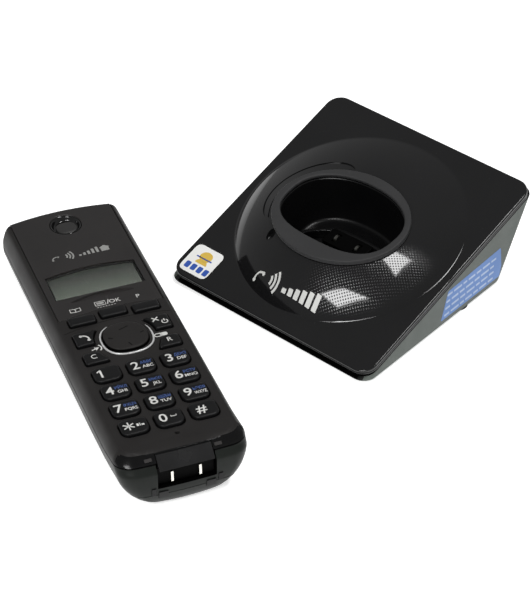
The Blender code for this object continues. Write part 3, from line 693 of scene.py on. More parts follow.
def build_collar():
    quarter = [pi / 2 * i / 5 for i in range(6)]
    rings = [level(oval(28.8, 24.9), -1.9)]
    rings += [level(oval(28.8 - inset, 24.9 - inset), -drop) for inset, drop in fillet(0.5, 5)]
    rings += [level(well_outline(0.7 * (1 - sin(a))), -0.05 - 0.7 * (1 - cos(a))) for a in quarter]
    rings += [level(well_outline(0.0), -1.2), level(well_outline(0.6), -1.9)]
    piece("cradle_rim", [rings], COLLAR, "base", "matt_grey", ["cradle_collar"], closed=True, angle=40)


def build_well():
    top = -2.2
    outside = ((-4.6, -23.4), (-3.6, -23.2), (-1.4, -21.4), (1.2, top))
    inside = ((0.25, top), (0.0, top - 0.25), (-0.5, -9.0), (-1.3, -16.0), (-2.6, -20.6), (-3.1, -21.4),
        (-4.0, -21.9),
        (-6.0, -22.0))
    rings = stack(well_outline, outside + inside)
    piece("cradle_cup", [rings], COLLAR, "base", "well_gloss", ["cradle_well"], angle=40)
    route = [(-20.0, -3.4), (-18.6, -1.0), (-16.2, 1.6), (-13.2, 4.0), (-9.6, 6.0), (-5.6, 7.1), (0.0, 7.6),
        (6.0, 7.6), (12.0, 7.2)]
    half_width = 0.9
    ridge = [[(x, y, -21.8) for x, y in stroke(route, 2 * half_width)]]
    for inset, drop in fillet(0.6, 4):
        ridge.append([(x, y, -18.0 - drop) for x, y in stroke(route, 2 * (half_width - inset))])
    piece("cradle_ridge", [ridge], COLLAR, "base", "nose_gloss", angle=40)


def build_pedestal():
    low, high = -21.7, -17.2
    body = [level(rounded_box(10.0 - i, -2.2 + i, 6.2 - i, 1.2, 1.2, 6), h)
        for i, h in ((0.0, low), (0.0, high - 0.5), (0.15, high - 0.15), (0.5, high))]
    slots = [prism(box_outline(x - 0.95, x + 0.95, -0.4, 4.4), low + 0.6, high + 2.0) for x in (-5.2, 5.2)]
    # The contact pedestal takes the near-black shade look: painted shade deep in the well.
    piece("contact_block_base", [body], COLLAR, "base", "shade_black", ["contact_pedestal"],
        cuts=[slots])
    profile = [(2.0 + y, -16.3 + z) for y, z in
        ((-1.7, -3.6), (1.7, -3.6), (1.7, -1.2), (1.35, -0.5), (0.8, -0.12), (0.0, 0.0), (-0.8, -0.12),
        (-1.35, -0.5), (-1.7, -1.2))]
    for side, x in (("left", -5.2), ("right", 5.2)):
        piece("spring_leaf_" + side, [cross_prism(profile, x - 0.6, x + 0.6)], COLLAR, "base_contact_" + side,
            "contact_dull", ["base_contact_" + side])


def build_housing():
    def tilted(inset, front_inset, height):
        outline = rounded_box(50.0 - inset, -53.5 + front_inset, 53.5 - inset, 5.5, 4.2, 8, 8, 8)
        c, s = cos(PLATE_TILT), sin(PLATE_TILT)
        return [(x, y * c - height * s, PLATE_HEIGHT + y * s + height * c) for x, y in outline]

    def flat(half, low, high, height):
        return level(rounded_box(half, low, high, 5.5, 4.2, 8, 8, 8), height)

    rings = [flat(49.3, -50.9, 32.8, 0.9), flat(49.6, -51.2, 33.1, 0.92), flat(50.0, -51.55, 33.7, 1.1),
        flat(50.2, -51.7, 34.0, 1.5), tilted(0.25, 0.3, -3.3), tilted(0.25, 0.3, -2.7), tilted(2.4, 7.5, -2.7),
        flat(47.2, -43.0, 32.0, 2.3)]
    screws = [prism(ellipse(3.3, 3.3, (x, 22.0), 32), -1.0, 4.0) for x in (-37.0, 37.0)]
    jacks = [prism(box_outline(x - half, x + half, 25.0, 50.0), 7.6, 17.4) for x, half in ((-22.0, 6.3), (18.0, 6.8))]
    made = piece("base_case", [rings], BASE, "base", "grey_green", ["base_housing"],
        cuts=[screws + jacks], angle=30)
    # The case's front wall is painted dark instead of grey-green: painted shade under the plate's front edge.
    repaint(made, "shaded_front_wall", lambda x, y, z: y < -50.0, BASE)
    # A strip at the top of the case, just under the cover, is painted near black: painted shadow in the gap under the
    # cover.
    repaint(made, "shade_black", lambda x, y, z: -3.3 < z < -2.5, PLATE)
    return made


def build_base_prints(top, case):
    under = tree_under(top, PLATE)
    white = handset_glyph((-13.8, -39.4), 2.9)
    for radius in (2.3, 4.0, 5.7):
        white.append(stroke(arc((-9.2, -39.6), radius, -38, 38, 8), 0.95))
    white += [bar(-0.8 + 2.9 * i, 1.2 + 2.9 * i, -41.6, -40.0 + 0.85 * i, 0.3) for i in range(6)]
    printed("base_mark", [white], under, PLATE, "base", "white_print", lift=0.04)
    square = rounded(box_outline(-47.8, -34.0, -51.0, -37.2), 2.6, 10)
    printed("sticker", [[square]], under, PLATE, "base", "sticker_white", lift=0.05, cell=4.0)
    sun = [ellipse(2.9, 2.5, (-40.6, -41.6), 24),
        rounded([(-43.6, -45.4), (-37.6, -45.4), (-38.4, -43.6), (-42.8, -43.6)], 0.5)]
    printed("sticker_shape", [sun], under, PLATE, "base", "sticker_yellow", lift=0.09, cell=4.0)
    blue = [bar(-46.2 + 3.1 * i, -43.9 + 3.1 * i, -49.4, -46.3, 0.7) for i in range(4)]
    blue += [bar(-44.6, -36.9, -42.9, -42.3, 0.2)]
    printed("sticker_bars", [blue], under, PLATE, "base", "sticker_blue", lift=0.09, cell=4.0)
    side_frame = BASE @ Matrix(((0, 0, 1, 0), (1, 0, 0, 0), (0, 1, 0, 0), (0, 0, 0, 1)))
    wall = tree_under(case, side_frame)
    sheet = rounded([(-6.0, 3.4), (31.5, 3.4), (32.5, 8.0), (31.5, 17.2), (-1.6, 15.4)], 0.6)
    printed("wall_label", [[sheet]], wall, side_frame, "base", "label_blue", lift=0.05, cell=4.0,
        from_above=80.0)
    pale = []
    for row in range(4):
        at, ends = -2.2 - 0.6 * row, 29.0
        high = 14.2 - 2.9 * row
        for index in range(9):
            run = (3.2, 5.0, 2.4, 4.2, 3.0, 4.6)[(index + 2 * row) % 6]
            if at + run > ends:
                break
            pale.append(bar(at, at + run, high - 0.95, high, 0.3))
            at += run + 0.9
    printed("wall_label_bars", [pale], wall, side_frame, "base", "label_pale", lift=0.08, cell=4.0,
        from_above=80.0)


# ---- handset ----
def table_depth(v):
    return (FACE_LOW - v * sin(FACE_PITCH)) / cos(FACE_PITCH)


def seam_depth(v):
    return 3.8 + 3.3 * smooth(v / 24.0) + 1.8 * smooth((v - 60.0) / 100.0)


def handset_outline(half, low, high, r_low, r_high):
    points = rounded_box(half, low, high, r_low, r_high, corner=10, side=32, end=16)
    middle = (low + high) / 2
    crowned = []
    for u, v in points:
        reach = abs(v - middle) / (high - middle)
        crown = 2.2 if v > middle else -1.0
        crowned.append((u, v - crown * (u / half) ** 2 * reach ** 8))
    return crowned


def panel_outline(half, low_shift, high, steps=24):
    lower = [(half * (2 * i / steps - 1),
        90.1 + low_shift - 2.1 * (2 * i / steps - 1) ** 2) for i in range(steps + 1)]
    upper = [(half * (1 - 2 * i / steps), high - 2.2 * (1 - 2 * i / steps) ** 2) for i in range(steps + 1)]
    return lower + upper


def window_outline(grow, steps=20):
    half = 17.4 + grow
    upper = [(half * (1 - 2 * i / steps), 115.6 + grow + 2.2 * (1 - (1 - 2 * i / steps) ** 2))
        for i in range(steps + 1)]
    return [(-half, 101.4 - grow), (half, 101.4 - grow)] + upper


def side_key_outlines(grow):
    reach = 11.9 - grow
    low, high = 69.7 - grow, 77.6 + grow
    first, last = (180 - degrees(asin((v - NAV[1]) / reach)) for v in (low, high))
    talk = [(-18.4 - grow, low)] + arc(NAV, reach, first, last, 10) + [(-18.4 - grow, high)]
    clear = [(-18.4 - grow, 58.4 - grow), (-9.3 + grow, 58.4 - grow), (-12.2 + grow, 64.8 + grow),
        (-18.4 - grow, 64.8 + grow)]
    return {"key_talk": talk, "key_off": mirrored(talk), "key_clear": clear, "key_recall": mirrored(clear)}


SIDE_KEYS = ("key_talk", "key_off", "key_clear", "key_recall")
SOFT_PLACES = {"key_soft_left": (-12.3, 85.0), "key_soft_middle": (0.2, 86.3), "key_soft_right": (12.7, 85.0)}
DIAL_NAMES = ("1", "2", "3", "4", "5", "6", "7", "8", "9", "star", "0", "hash")
DIAL_PLACES = {"key_" + name: (u, v) for name, (u, v) in
    zip(DIAL_NAMES, [(u, v) for v in (51.0, 40.4, 29.8, 19.2) for u in (-13.0, 0.0, 13.0)])}


def dial_outline(grow):
    return rounded_box(5.1 + grow, -4.2 - grow, 4.2 + grow, 2.9 + grow, 1.9 + grow)


def soft_outline(grow):
    return rounded_box(5.1 + grow, -2.5 - grow, 2.5 + grow, 1.0 + grow * 0.5, 0.9 + grow * 0.5, 5)


def flared(outline_at):
    """A cutter whose mouth at the face is opened by a rounded edge."""
    depth, margin, chamfer = -8.0, 0.32, 0.3
    rows = ((0.0, depth), (0.0, -chamfer * 1.6), (0.15, -chamfer * 0.8), (0.5, -chamfer * 0.3), (1.1, 0.02),
        (1.1, 3.0))
    return stack(lambda part: outline_at(margin + chamfer * part), rows)


def pad_outline(radius):
    """The navigation pad's rounded-square outline."""
    return oval(radius, radius * 0.985, 0.0, 2.5, 2.3, count=96)


def face_cutters():
    skins = [flared(lambda g, c=centre: moved(dial_outline(g), c)) for centre in DIAL_PLACES.values()]
    skins += [flared(lambda g, c=centre: moved(soft_outline(g), c)) for centre in SOFT_PLACES.values()]
    skins += [flared(lambda g, n=name, r=radius: rounded(side_key_outlines(g)[n], r))
        for name, radius in zip(SIDE_KEYS, (1.0, 1.0, 1.6, 1.6))]
    skins.append([level(moved(pad_outline(r), NAV), w) for r, w in ((8.55, -8.0), (8.55, -0.3), (8.7, 0.02),
        (8.7, 3.0))])
    skins.append([level(ellipse(r, r, (0.3, 11.4), 24), w) for r, w in ((0.8, -6.0), (0.8, -0.3), (1.0, 0.02),
        (1.0, 3.0))])
    return skins


def end_band():
    """What is cut off the face at the lower end: a crescent sloping down to a straight crease with a soft edge."""
    v, w = CREASE
    rings = []
    for step in range(39):
        u = -28.5 + 1.5 * step
        start = 9.7 - 0.0093 * u * u
        rings.append([(u, start, 0.0), (u, start, 3.0), (u, -6.0, 3.0), (u, -6.0, -3.2), (u, v - 0.22, w - 0.24),
            (u, v - 0.08, w - 0.08), (u, v + 0.1, w + 0.01), (u, v + 0.3, w + 0.07)])
    return rings


NOSE_DOWN, NOSE_OUT = Vector((-0.727, -0.687)), Vector((-0.687, 0.727))
NOSE_MIDDLE = Vector((3.35, -2.4))


def nose_block(u, half, along, low, high):
    """A small block lying on the glossy face under the crease."""
    corners = [(-along, low), (along, low), (along, high), (-along, high)]
    profile = [tuple(NOSE_MIDDLE + NOSE_DOWN * a + NOSE_OUT * n) for a, n in corners]
    return cross_prism(profile, u - half, u + half)


def repaint(made, look, wanted, place=HANDSET):
    """Give another look to the faces whose centre in a frame, in millimetres, is wanted."""
    made.data.materials.append(LOOKS[look])
    last = len(made.data.materials) - 1
    local = place.inverted()
    for face in made.data.polygons:
        if wanted(*(local @ face.center / MM)):
            face.material_index = last


def build_front():
    outer = [(HALF_WIDTH, NOSE_STEP, SEAM_END, 6.5, 3.2, 1.0, 0.15), (24.25, 2.57, 159.0, 6.4, 3.15, 0.8, 0.3),
        (24.05, 3.16, 158.9, 6.2, 3.0, 0.6, 0.45), (23.6, 3.69, 158.8, 6.0, 2.9, 0.4, 0.65),
        (23.1, 4.11, 158.7, 5.7, 2.8, 0.2, 0.95), (22.6, 4.48, 158.55, 5.4, 2.65, 0.06, 1.1),
        (22.15, 4.86, 158.4, 5.2, 2.5, 0.0, 0.95), (21.8, 5.23, 158.1, 4.8, 2.2, 0.0, 0.6),
        (21.3, 5.64, 157.8, 4.4, 2.0, 0.0, 0.22), (20.9, 5.87, 157.5, 4.0, 1.9, 0.0, 0.0)]
    inner = [(19.8, 8.6, 155.0, 3.0, 2.5, 0.0, 2.0), (20.9, 7.2, 156.0, 3.5, 3.0, 0.3, 2.0),
        (22.2, 3.9, 156.8, 5.0, 3.2, 1.0, 0.15)]

    def ring(half, low, high, r_low, r_high, share, extra):
        return level(handset_outline(half, low, high, r_low, r_high),
            lambda u, v: -share * (seam_depth(v) - 0.3) - extra)

    rings = [ring(*row) for row in outer[::-1]] + [ring(*row) for row in inner[::-1]]
    fold = [(20.6 * t, 82.4 - 2.7 * t * t) for t in [i / 12 - 1 for i in range(25)]]
    groove = stroke(fold, 0.34)
    made = piece("front_case", [rings], HANDSET, "handset", "shell", ["front_shell"],
        cuts=[[prism(panel_outline(20.45 + 0.22, -0.22, 170.0), -1.2, 3.0)],
        [prism(box_outline(-10.5, 10.5, -6.0, 8.6), -9.0, -1.35)],
        face_cutters(),
        [prism(window_outline(-0.2), -8.0, 1.0)],
        [prism(ellipse(6.25, 6.65, EARPIECE, 64), -8.0, 1.0)],
        [end_band()],
        [[level(groove, -0.22), level(groove, 1.0)]],
        [nose_block(u, 1.5, 0.75, -0.15, 1.5) for u in (-13.2, 12.6)]], angle=30)
    repaint(made, "nose_gloss", lambda u, v, w: w < -1.05 and v < 8.6)
    for side, u in (("left", -13.2), ("right", 12.6)):
        piece("nose_inlay_" + side, [nose_block(u, 1.35, 0.6, -0.14, -0.05)], HANDSET, "handset", "panel")
    return made


def rear_ring(angle, inset, seam_shift):
    c, s = cos(radians(angle)), sin(radians(angle))
    nose_fill = s ** (2 / 2.2)
    end_fill = s ** (2 / 2.7)
    lean = NOSE_STEP * (1 - smooth(nose_fill / 0.16))
    low = SEAM_LOW + inset + lean + 12.0 * (1 - (1 - nose_fill ** 3) ** (1 / 3))
    high = SEAM_END - inset - 8.0 * (1 - (1 - end_fill ** 3) ** (1 / 3))
    shrink = c ** (2 / 2.7)
    outline = handset_outline(HALF_WIDTH - inset, low, high, 5.0 * shrink + 1.5, 1.7 * shrink + 1.5)
    points = []
    for u, v in outline:
        power = 2.2 + 0.5 * smooth(v / 50.0)
        fill = s ** (2 / power)
        top = seam_depth(v) + seam_shift
        points.append((u * c ** (2 / power), v, -top - fill * (table_depth(v) - inset - top)))
    return points


def rear_hull():
    outer = [rear_ring(a, 0.0, 0.15) for a in (0.0, 0.6, 2.0, 4.0, 6.0, 8.0, 12.0, 16.0, 20.0, 25.0, 30.0, 36.0, 44.0,
        52.0,
        59.0, 66.0, 72.0, 78.0)]
    inner = [rear_ring(a, WALL, 0.15) for a in (0.0, 24.0, 46.0, 64.0, 78.0)]
    return outer[::-1] + inner


def cover_block(half, seam_height, end):
    profile = [(v, -table_depth(v) + seam_height) for v in (-20.0, end)] + [(end, -40.0), (-20.0, -40.0)]
    return cross_prism(profile, -half, half)


def build_rear():
    recess = prism(box_outline(-10.9, 10.9, -6.0, 7.2), -14.0, 0.0)
    screws = [prism(ellipse(2.9, 2.9, (u, 140.0), 32), -30.0, -14.0) for u in (-12.0, 12.0)]
    rear = piece("rear_case", [rear_hull()], HANDSET, "handset", "side", ["rear_shell"],
        cuts=[[cover_block(18.3, 9.0, 75.0)], [recess] + screws], angle=36)
    # The contact recess and a band along the seam are painted near black: painted shade in the recess and painted
    # shadow in the joint.
    repaint(rear, "shade_black", lambda u, v, w: (abs(u) < 10.95 and v < 7.25 and w > -14.05)
        or w > -seam_depth(v) - 0.48)
    piece("cell_cover", [rear_hull()], HANDSET, "battery_cover", "side", ["battery_cover"],
        keep=[cover_block(18.0, 8.7, 74.7)], angle=36)
    tab = [(0.42, -15.7), (0.74, -17.3), (1.18, -18.9), (1.75, -18.9), (1.35, -17.45), (1.0, -17.3), (0.70, -15.7)]
    post = [(0.25, -13.6), (0.8, -17.0), (1.5, -17.0), (1.2, -13.6)]
    for side, sign in (("left", -1), ("right", 1)):
        piece("cover_tab_" + side, [cross_prism(tab, *sorted((sign * 7.1, sign * 10.6)))], HANDSET, "battery_cover",
            "nose_gloss")
        piece("case_post_" + side, [cross_prism(post, *sorted((sign * 11.6, sign * 13.2)))], HANDSET, "handset",
            "nose_gloss")


def build_display():
    rows = ((20.45, 0.0, 158.3, -0.9), (20.45, 0.0, 158.25, -0.5), (20.42, 0.03, 158.1, -0.24),
        (20.33, 0.12, 157.75, -0.08), (20.15, 0.3, 157.2, 0.0))
    rings = [level(panel_outline(half, low, high), w) for half, low, high, w in rows]
    window = stack(window_outline, ((GAP, -4.0), (GAP, -0.15), (0.38, 0.02), (0.38, 4.0)))
    ear = [level(ellipse(6.2 + g, 6.6 + g, EARPIECE), w) for g, w in ((0.0, -4.0), (0.0, -0.45), (0.12, -0.2),
        (0.4, 0.03), (0.4, 4.0))]
    spread = [i / 14 - 1 for i in range(29)]
    scoop = [(13.6 * t + 0.5, 100.6 - 2.7 * t * t) for t in spread][::-1]
    scoop += [(13.6 * t + 0.5, 97.0 + 0.8 * t * t) for t in spread[1:-1]]
    scoop_low = [(0.5 + (u - 0.5) * 0.94, v * 0.5 + 0.5 * (100.1 - 2.4 * ((u - 0.5) / 13.6) ** 2)) for u, v in scoop]
    piece("face_panel", [rings], HANDSET, "handset", "panel", ["display_panel"],
        cuts=[[window], [ear], [[level(scoop_low, -0.75), level(scoop, 0.02), level(scoop, 2.0)]]], angle=36)
    lens = stack(window_outline, ((0.0, -0.9), (0.0, -0.4), (-0.1, -0.3)))
    piece("display_lens", [lens], HANDSET, "handset", "window", ["display_window"])
    lcd = stack(window_outline, ((1.5, -4.6), (1.5, -2.3), (-0.5, -2.3), (-0.5, -1.2)))
    piece("lcd", [lcd], HANDSET, "handset", "display", ["lcd_module"])
    cup = [(6.12, -2.3), (6.12, -0.5), (6.05, -0.25), (5.9, -0.12), (5.7, -0.2), (5.45, -0.5), (5.2, -1.0),
        (4.9, -1.6), (4.6, -1.95), (4.45, -2.0)]
    piece("earpiece_cup", [[level(ellipse(r, r + 0.4, EARPIECE), w) for r, w in cup]], HANDSET, "handset", "cup")
    pad = [(4.05, -1.98), (4.05, -1.1), (3.95, -0.85), (3.7, -0.68), (3.2, -0.6), (1.5, -0.58)]
    piece("earpiece_button", [[level(oval(r, r * 0.92, 0.0, 2.6, 2.6, count=64), w) for r, w in pad]],
        HANDSET @ shift(0.0, 146.9), "handset", "pad",
        ["earpiece_pad"])


# ---- keys ----
LATIN = {"2": "ABC", "3": "DEF", "4": "GHI", "5": "JKL", "6": "MNO", "7": "PQRS", "8": "TUV", "9": "WXYZ"}
CYRILLIC = {"2": "АБВГ", "3": "ДЕЖЗ", "4": "ИЙКЛ", "5": "МНОП", "6": "РСТУ", "7": "ФХЦЧ", "8": "ШЩЪЫ", "9": "ЬЭЮЯ"}


KEY_ROUNDING = ((0.0, 0.95), (-0.04, 0.6), (-0.14, 0.36), (-0.32, 0.2), (-0.6, 0.1), (-1.0, 0.04), (-1.6, 0.01),
    (-2.3, 0.0))


def key_skin(outline_at, steps=8):
    flange = outline_at(0.5)
    return ([level(flange, KEY_FOOT), level(flange, KEY_FOOT + 0.7), level(outline_at(0.0), KEY_FOOT + 0.7)]
        + [level(outline_at(inset), KEY_TOP - drop) for inset, drop in KEY_ROUNDING[:steps]])


def star_strokes(centre, length, width):
    made = []
    for turn in (90, 30, 150):
        c, s = cos(radians(turn)) * length / 2, sin(radians(turn)) * length / 2
        made.append(stroke([(centre[0] - c, centre[1] - s), (centre[0] + c, centre[1] + s)], width))
    return made


def dial_legend(name):
    """Flat shapes of a dial key's large figure, and of what is beside it in white."""
    if name == "star":
        small = [bar(0.9, 1.7, -0.9, 0.5, 0.1), bar(2.0, 2.3, -0.9, 0.7, 0.1), bar(2.6, 3.7, -0.9, 0.0, 0.1)]
        return [[arm] for arm in star_strokes((-1.9, 0.1), 4.4, 0.5)] + [small]
    where = {"hash": (-1.0, 0.2), "0": (-2.2, 0.3), "1": (-2.2, 0.2)}.get(name, (-2.3, 0.3))
    made = [text_outlines("#" if name == "hash" else name, 4.4, where, 1.05, 0.06)]
    if name == "1":
        made.append([stroke([(-3.5, 1.15), (-2.35, 2.05)], 0.55)])
    if name == "0":
        made.append([stroke([(0.7, 0.6), (0.7, 0.0), (2.7, 0.0), (2.7, 0.6)], 0.35)])
    if name in LATIN:
        made.append(text_outlines(LATIN[name], 1.6, (2.1, -1.15), 0.98, 0.03, 4.7))
    return made


def build_key(key, centre, outline_at, legend=(), small=(), steps=8):
    """A key's cap, its white legend and its small blue one."""
    place = HANDSET @ shift(*centre)
    made = piece(key + "_cap", [key_skin(outline_at, steps)], place, key, "key", [key], angle=50)
    under = tree_under(made, place)
    for suffix, flats, look in (("_legend", legend, "white_print"), ("_legend_small", small, "blue_print")):
        if flats:
            printed(key + suffix, flats, under, place, key, look, lift=0.025, cell=1.5)


def build_keys():
    for key, centre in DIAL_PLACES.items():
        name = key[4:]
        small = [text_outlines(CYRILLIC[name], 1.55, (2.1, 1.15), 0.92, 0.03, 4.6)] if name in CYRILLIC else ()
        build_key(key, centre, lambda g: rounded_box(5.1 + g, -4.2 - g, 4.2 + g, max(2.9 + g, 0.6),
            max(1.9 + g, 0.6), 8), dial_legend(name), small)
    for key, centre in SOFT_PLACES.items():
        build_key(key, centre, lambda g: rounded_box(5.1 + g, -2.5 - g, 2.5 + g, max(1.0 + g, 0.2),
            max(0.9 + g, 0.2), 5))
    for key in SIDE_KEYS:
        radius = 0.9 if key in SIDE_KEYS[:2] else 1.5
        body = side_key_outlines(0.0)[key]
        centre = tuple((min(p[axis] for p in body) + max(p[axis] for p in body)) / 2 for axis in (0, 1))
        local = [(u - centre[0], v - centre[1]) for u, v in body]
        build_key(key, centre, lambda g: rounded(shrunk(local, -g), radius), side_legend(key), steps=6)


def side_legend(key):
    if key == "key_talk":
        return [handset_glyph((-0.4, 0.2), 2.5, -50.0)]
    if key == "key_off":
        cross = [stroke([(-1.9, 0.2), (0.5, 2.5)], 0.5), stroke([(0.4, 0.3), (-1.8, 2.4)], 0.5)]
        power = [stroke(arc((2.4, -0.9), 1.1, 125, 415, 14), 0.4), stroke([(2.4, -0.7), (2.4, 0.7)], 0.4)]
        return [cross[:1], cross[1:], power]
    if key == "key_clear":
        return [text_outlines("C", 2.5, (-0.8, 0.3))]
    return [text_outlines("R", 2.5, (0.6, 0.3))]


def build_navigation():
    pivot = HANDSET @ shift(*NAV, -1.75)
    pad = ((7.6, 0.15), (8.25, 0.6), (8.25, 2.3), (8.24, 2.55), (8.12, 2.8), (7.8, 3.0), (7.2, 3.12), (6.2, 3.15),
        (4.4, 3.11), (2.0, 3.05))
    made = piece("nav_disc", [[level(pad_outline(r), w) for r, w in pad]], pivot, "nav_pad", "shell",
        ["nav_pad"], angle=50)
    # The pad's flank below w = 0.7 is painted near black: painted shade on the flank and in the gap to the face.
    repaint(made, "shade_black", lambda u, v, w: w < 0.7)
    under = tree_under(made, pivot)
    marks = [stroke([(-1.5, 3.5), (2.3, 4.7)], 0.42), stroke([(-6.6, 0.1), (-5.1, -0.7)], 0.45),
        stroke([(-0.3, -5.0), (0.4, -6.9)], 0.45), stroke([(5.5, -0.8), (7.0, -0.3)], 0.45)]
    printed("nav_marks", [marks], under, pivot, "nav_pad", "dark_print", lift=0.025, cell=1.5)
    steps = 110
    rings = []
    for index in range(steps + 1):
        angle = radians(120 + 268 * index / steps)
        c, s = cos(angle), sin(angle)
        power = 2.5 if s < 0 else 2.2
        reach = 9.65 * (abs(c) ** power + abs(s) ** power) ** (-1 / power)
        ends = min(index, steps - index) / 2.0
        tube = 0.36 * min(1.0, 0.25 + ends / 8.0)
        centre_u, centre_v = NAV[0] + 0.3 + reach * c, NAV[1] - 0.2 + reach * s
        rings.append([(centre_u + tube * cos(t) * c, centre_v + tube * cos(t) * s, 0.15 + tube * sin(t))
            for t in [2 * pi * k / 14 for k in range(14)]])
    # The trim's pale colour is painted reflection standing in for chrome's highlights.
    piece("nav_trim", [rings], HANDSET, "handset", "chrome", ["nav_ring"], angle=50)


def build_handset_prints(front, panel):
    on_panel, on_face = tree_under(panel, HANDSET), tree_under(front, HANDSET)
    mark = handset_glyph((-10.4, 127.3), 1.9)
    mark += [stroke(arc((-7.2, 127.3), r, -38, 38, 8), 0.6) for r in (1.7, 2.9, 4.1)]
    mark += [bar(-1.0 + 1.75 * i, 0.0 + 1.75 * i, 125.5, 126.5 + 0.65 * i, 0.2) for i in range(5)]
    mark.append([(8.0, 125.5), (11.2, 125.5), (11.2, 127.7), (11.8, 127.7), (9.6, 129.2), (7.4, 127.7), (8.0, 127.7)])
    printed("face_mark", [mark], on_panel, HANDSET, "handset", "grey_print", lift=0.025)
    book = [stroke([(-14.6, 91.7), (-14.6, 93.6), (-12.6, 93.3), (-10.6, 93.6), (-10.6, 91.7), (-12.6, 91.4),
        (-14.6, 91.7)], 0.3), stroke([(-12.6, 91.4), (-12.6, 93.3)], 0.3)]
    menu = [stroke(box_outline(-4.6, -0.6, 92.3, 94.6) + [(-4.6, 92.3)], 0.3), bar(-4.0, -1.2, 93.7, 94.0, 0.1),
        bar(-4.0, -1.2, 93.1, 93.4, 0.1), stroke([(0.0, 92.2), (0.9, 94.8)], 0.3)]
    panel_words = [book[:1], book[1:], menu[:1], menu[1:],
        text_outlines("OK", 2.2, (3.1, 93.4)), text_outlines("P", 2.2, (12.1, 92.9)),
        [bar(-4.4 + 1.1 * i, -3.8 + 1.1 * i, 91.0, 91.25, 0.05) for i in range(7)]]
    printed("panel_icons", panel_words, on_panel, HANDSET, "handset", "white_print", lift=0.025)
    arrow = [stroke([(-13.9, 66.9), (-12.1, 67.5)], 0.5), [(-12.8, 68.3), (-12.3, 66.4), (-10.9, 67.8)],
        stroke(arc((-12.2, 67.6), 2.1, -50, 50, 8), 0.5)]
    pill = [stroke(arc((11.1, 66.9), 0.85, 90, 270, 8) + arc((12.2, 66.9), 0.85, -90, 90, 8) + [(11.1, 67.75)], 0.4),
        rounded(box_outline(12.4, 15.2, 65.9, 67.9), 0.95, 6)]
    printed("face_icons", [[shape] for shape in arrow + pill], on_face, HANDSET, "handset", "white_print",
        lift=0.025)


def build_handset_end():
    profile = [(4.1, -1.65), (-0.3, -5.8), (2.1, -5.8), (6.5, -1.65)]
    piece("end_plate", [cross_prism(profile, -10.2, 10.2)], HANDSET, "handset", "end_satin",
        ["end_panel"])
    block = [(2.4, -13.6), (2.4, -6.3), (6.8, -6.3), (6.8, -13.6)]
    # The contact block in the end recess takes the near-black shade look: painted shade in the recess.
    piece("end_block", [cross_prism(block, -10.5, 10.5)], HANDSET, "handset", "shade_black",
        ["contact_block"])
    strip = [(1.5, -12.7), (1.5, -8.4), (2.1, -8.4), (2.1, -12.7)]
    for side, u in (("left", -5.2), ("right", 5.2)):
        piece("charge_strip_" + side, [cross_prism(strip, u - 0.45, u + 0.45)], HANDSET, "handset", "contact",
            ["charge_contact_" + side])


# ---- CAD nodes whose shape is right: better materials ----
KEPT = {
    "black_satin": ["line_jack", "power_jack", "earpiece_speaker", "battery_tray", "nav_pivot"],
    "board": ["base_pcb", "handset_pcb"],
    "rubber": ["foot_front_left", "foot_front_right", "foot_rear_left", "foot_rear_right", "keypad_mat"],
    "steel": ["base_screw_left", "base_screw_right", "handset_screw_left", "handset_screw_right", "microphone",
    "battery_spring_1", "battery_spring_2"],
    "cell": ["battery_cell_1", "battery_cell_2"],
}


def dress_kept_nodes():
    for look, names in KEPT.items():
        for name in names:
            data = NODES[name].data
            data.materials.clear()
            data.materials.append(LOOKS[look])


# ---- stage ----
FLOOR_GLOW = 0.6
PANEL_GLOW = 23.0
LIT_POINT = (8.0, -10.0, 35.0)
PANELS = (("panel_front", 15.5, 37.3, ((-0.28, -0.07), (-0.04, -0.14), (0.32, 0.11), (0.0, 0.10))),
    ("panel_over", 125.5, 72.5, ((0.08, 0.11), (-0.40, -0.07), (0.01, -0.11), (0.31, 0.07))))
HORIZON, ZENITH = (0.40, 0.40, 0.40), (0.29, 0.29, 0.29)


def light_panel(name, azimuth, elevation, corners, target):
    """A flat glowing panel one metre from a target and facing it; corners are metres across and up in its plane."""
    a, e = radians(azimuth), radians(elevation)
    out = Vector((sin(a) * cos(e), -cos(a) * cos(e), sin(e)))
    across = Vector((0, 0, 1)).cross(out).normalized()
    up = out.cross(across)
    mesh = bpy.data.meshes.new(name)
    mesh.from_pydata([target + out + across * x + up * y for x, y in corners], [], [(0, 1, 2, 3)])
    made = put(name, mesh, Matrix.Identity(4))
    made.visible_camera = False
    glow = bpy.data.materials.new(name)
    glow.use_nodes = True
    glow.node_tree.nodes.clear()
    nodes = Nodes(glow.node_tree)
    nodes.add("OutputMaterial", Surface=nodes.add("Emission", Strength=PANEL_GLOW).outputs[0])
    mesh.materials.append(glow)


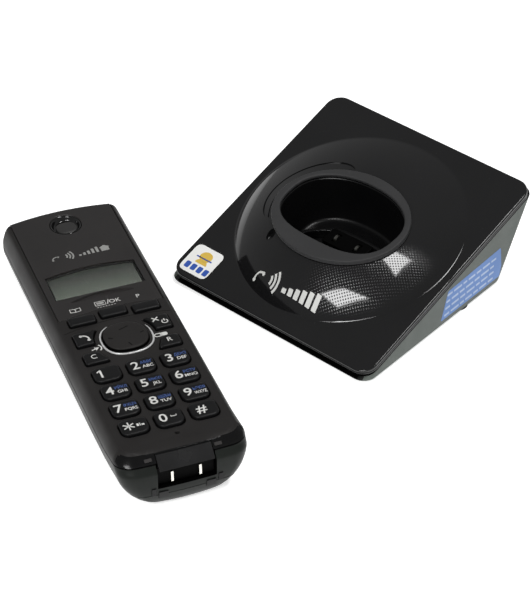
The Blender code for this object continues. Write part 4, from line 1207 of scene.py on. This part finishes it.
def build_stage():
    bm = bmesh.new()
    bmesh.ops.create_grid(bm, x_segments=4, y_segments=4, size=6.0)
    floor = put("floor", as_mesh("floor", bm), Matrix.Identity(4))
    paper = Look("paper", (0.86, 0.86, 0.86), 0.9, specular=0.1)
    paper.feed({"Emission Color": (1.0, 1.0, 1.0, 1.0), "Emission Strength": FLOOR_GLOW})
    floor.data.materials.append(paper.made)
    dome = BASE @ (Vector(LIT_POINT) * MM)
    for name, azimuth, elevation, corners in PANELS:
        light_panel(name, azimuth, elevation, corners, dome)
    world = bpy.data.worlds.new("studio")
    SCENE.world = world
    world.use_nodes = True
    sky = Nodes(world.node_tree)
    up = sky.add("SeparateXYZ", Vector=sky.add("TexCoord").outputs["Generated"]).outputs[2]
    shade = sky.mixed(sky.ranged(up, 0.0, 0.9), HORIZON, ZENITH)
    sky.fill(sky.tree.nodes["Background"], {"Color": shade, "Strength": 1.0})


CAMERA_ANGLES = (41.069, 38.925, -0.241)
CAMERA_TARGET, CAMERA_DISTANCE = (-12.40, -36.70, 0.0), 0.939
CAMERA_LENS, CAMERA_FILM = 144.06, 36.0


def build_camera():
    azimuth, elevation, roll = [radians(angle) for angle in CAMERA_ANGLES]
    back = Vector((sin(azimuth) * cos(elevation), -cos(azimuth) * cos(elevation),
        sin(elevation)))
    right = (-back).cross(Vector((0, 0, 1))).normalized()
    up = right.cross(-back)
    x_axis = cos(roll) * right + sin(roll) * up
    y_axis = -sin(roll) * right + cos(roll) * up
    target = BASE @ (Vector(CAMERA_TARGET) * MM)
    data = bpy.data.cameras.new("camera")
    data.lens = CAMERA_LENS
    data.sensor_width = CAMERA_FILM
    data.clip_start, data.clip_end = 0.05, 50.0
    camera = bpy.data.objects.new("camera", data)
    SCENE.collection.objects.link(camera)
    camera.matrix_world = axes_matrix(target + back * CAMERA_DISTANCE, x_axis, y_axis, back)
    SCENE.camera = camera


# ---- assembly ----
top = build_base_top()
build_collar()
build_well()
build_pedestal()
case = build_housing()
build_base_prints(top, case)
front = build_front()
build_rear()
build_display()
build_keys()
build_navigation()
build_handset_prints(front, bpy.data.objects["face_panel"])
build_handset_end()
dress_kept_nodes()
build_stage()
build_camera()
SCENE.view_settings.view_transform = "Standard"
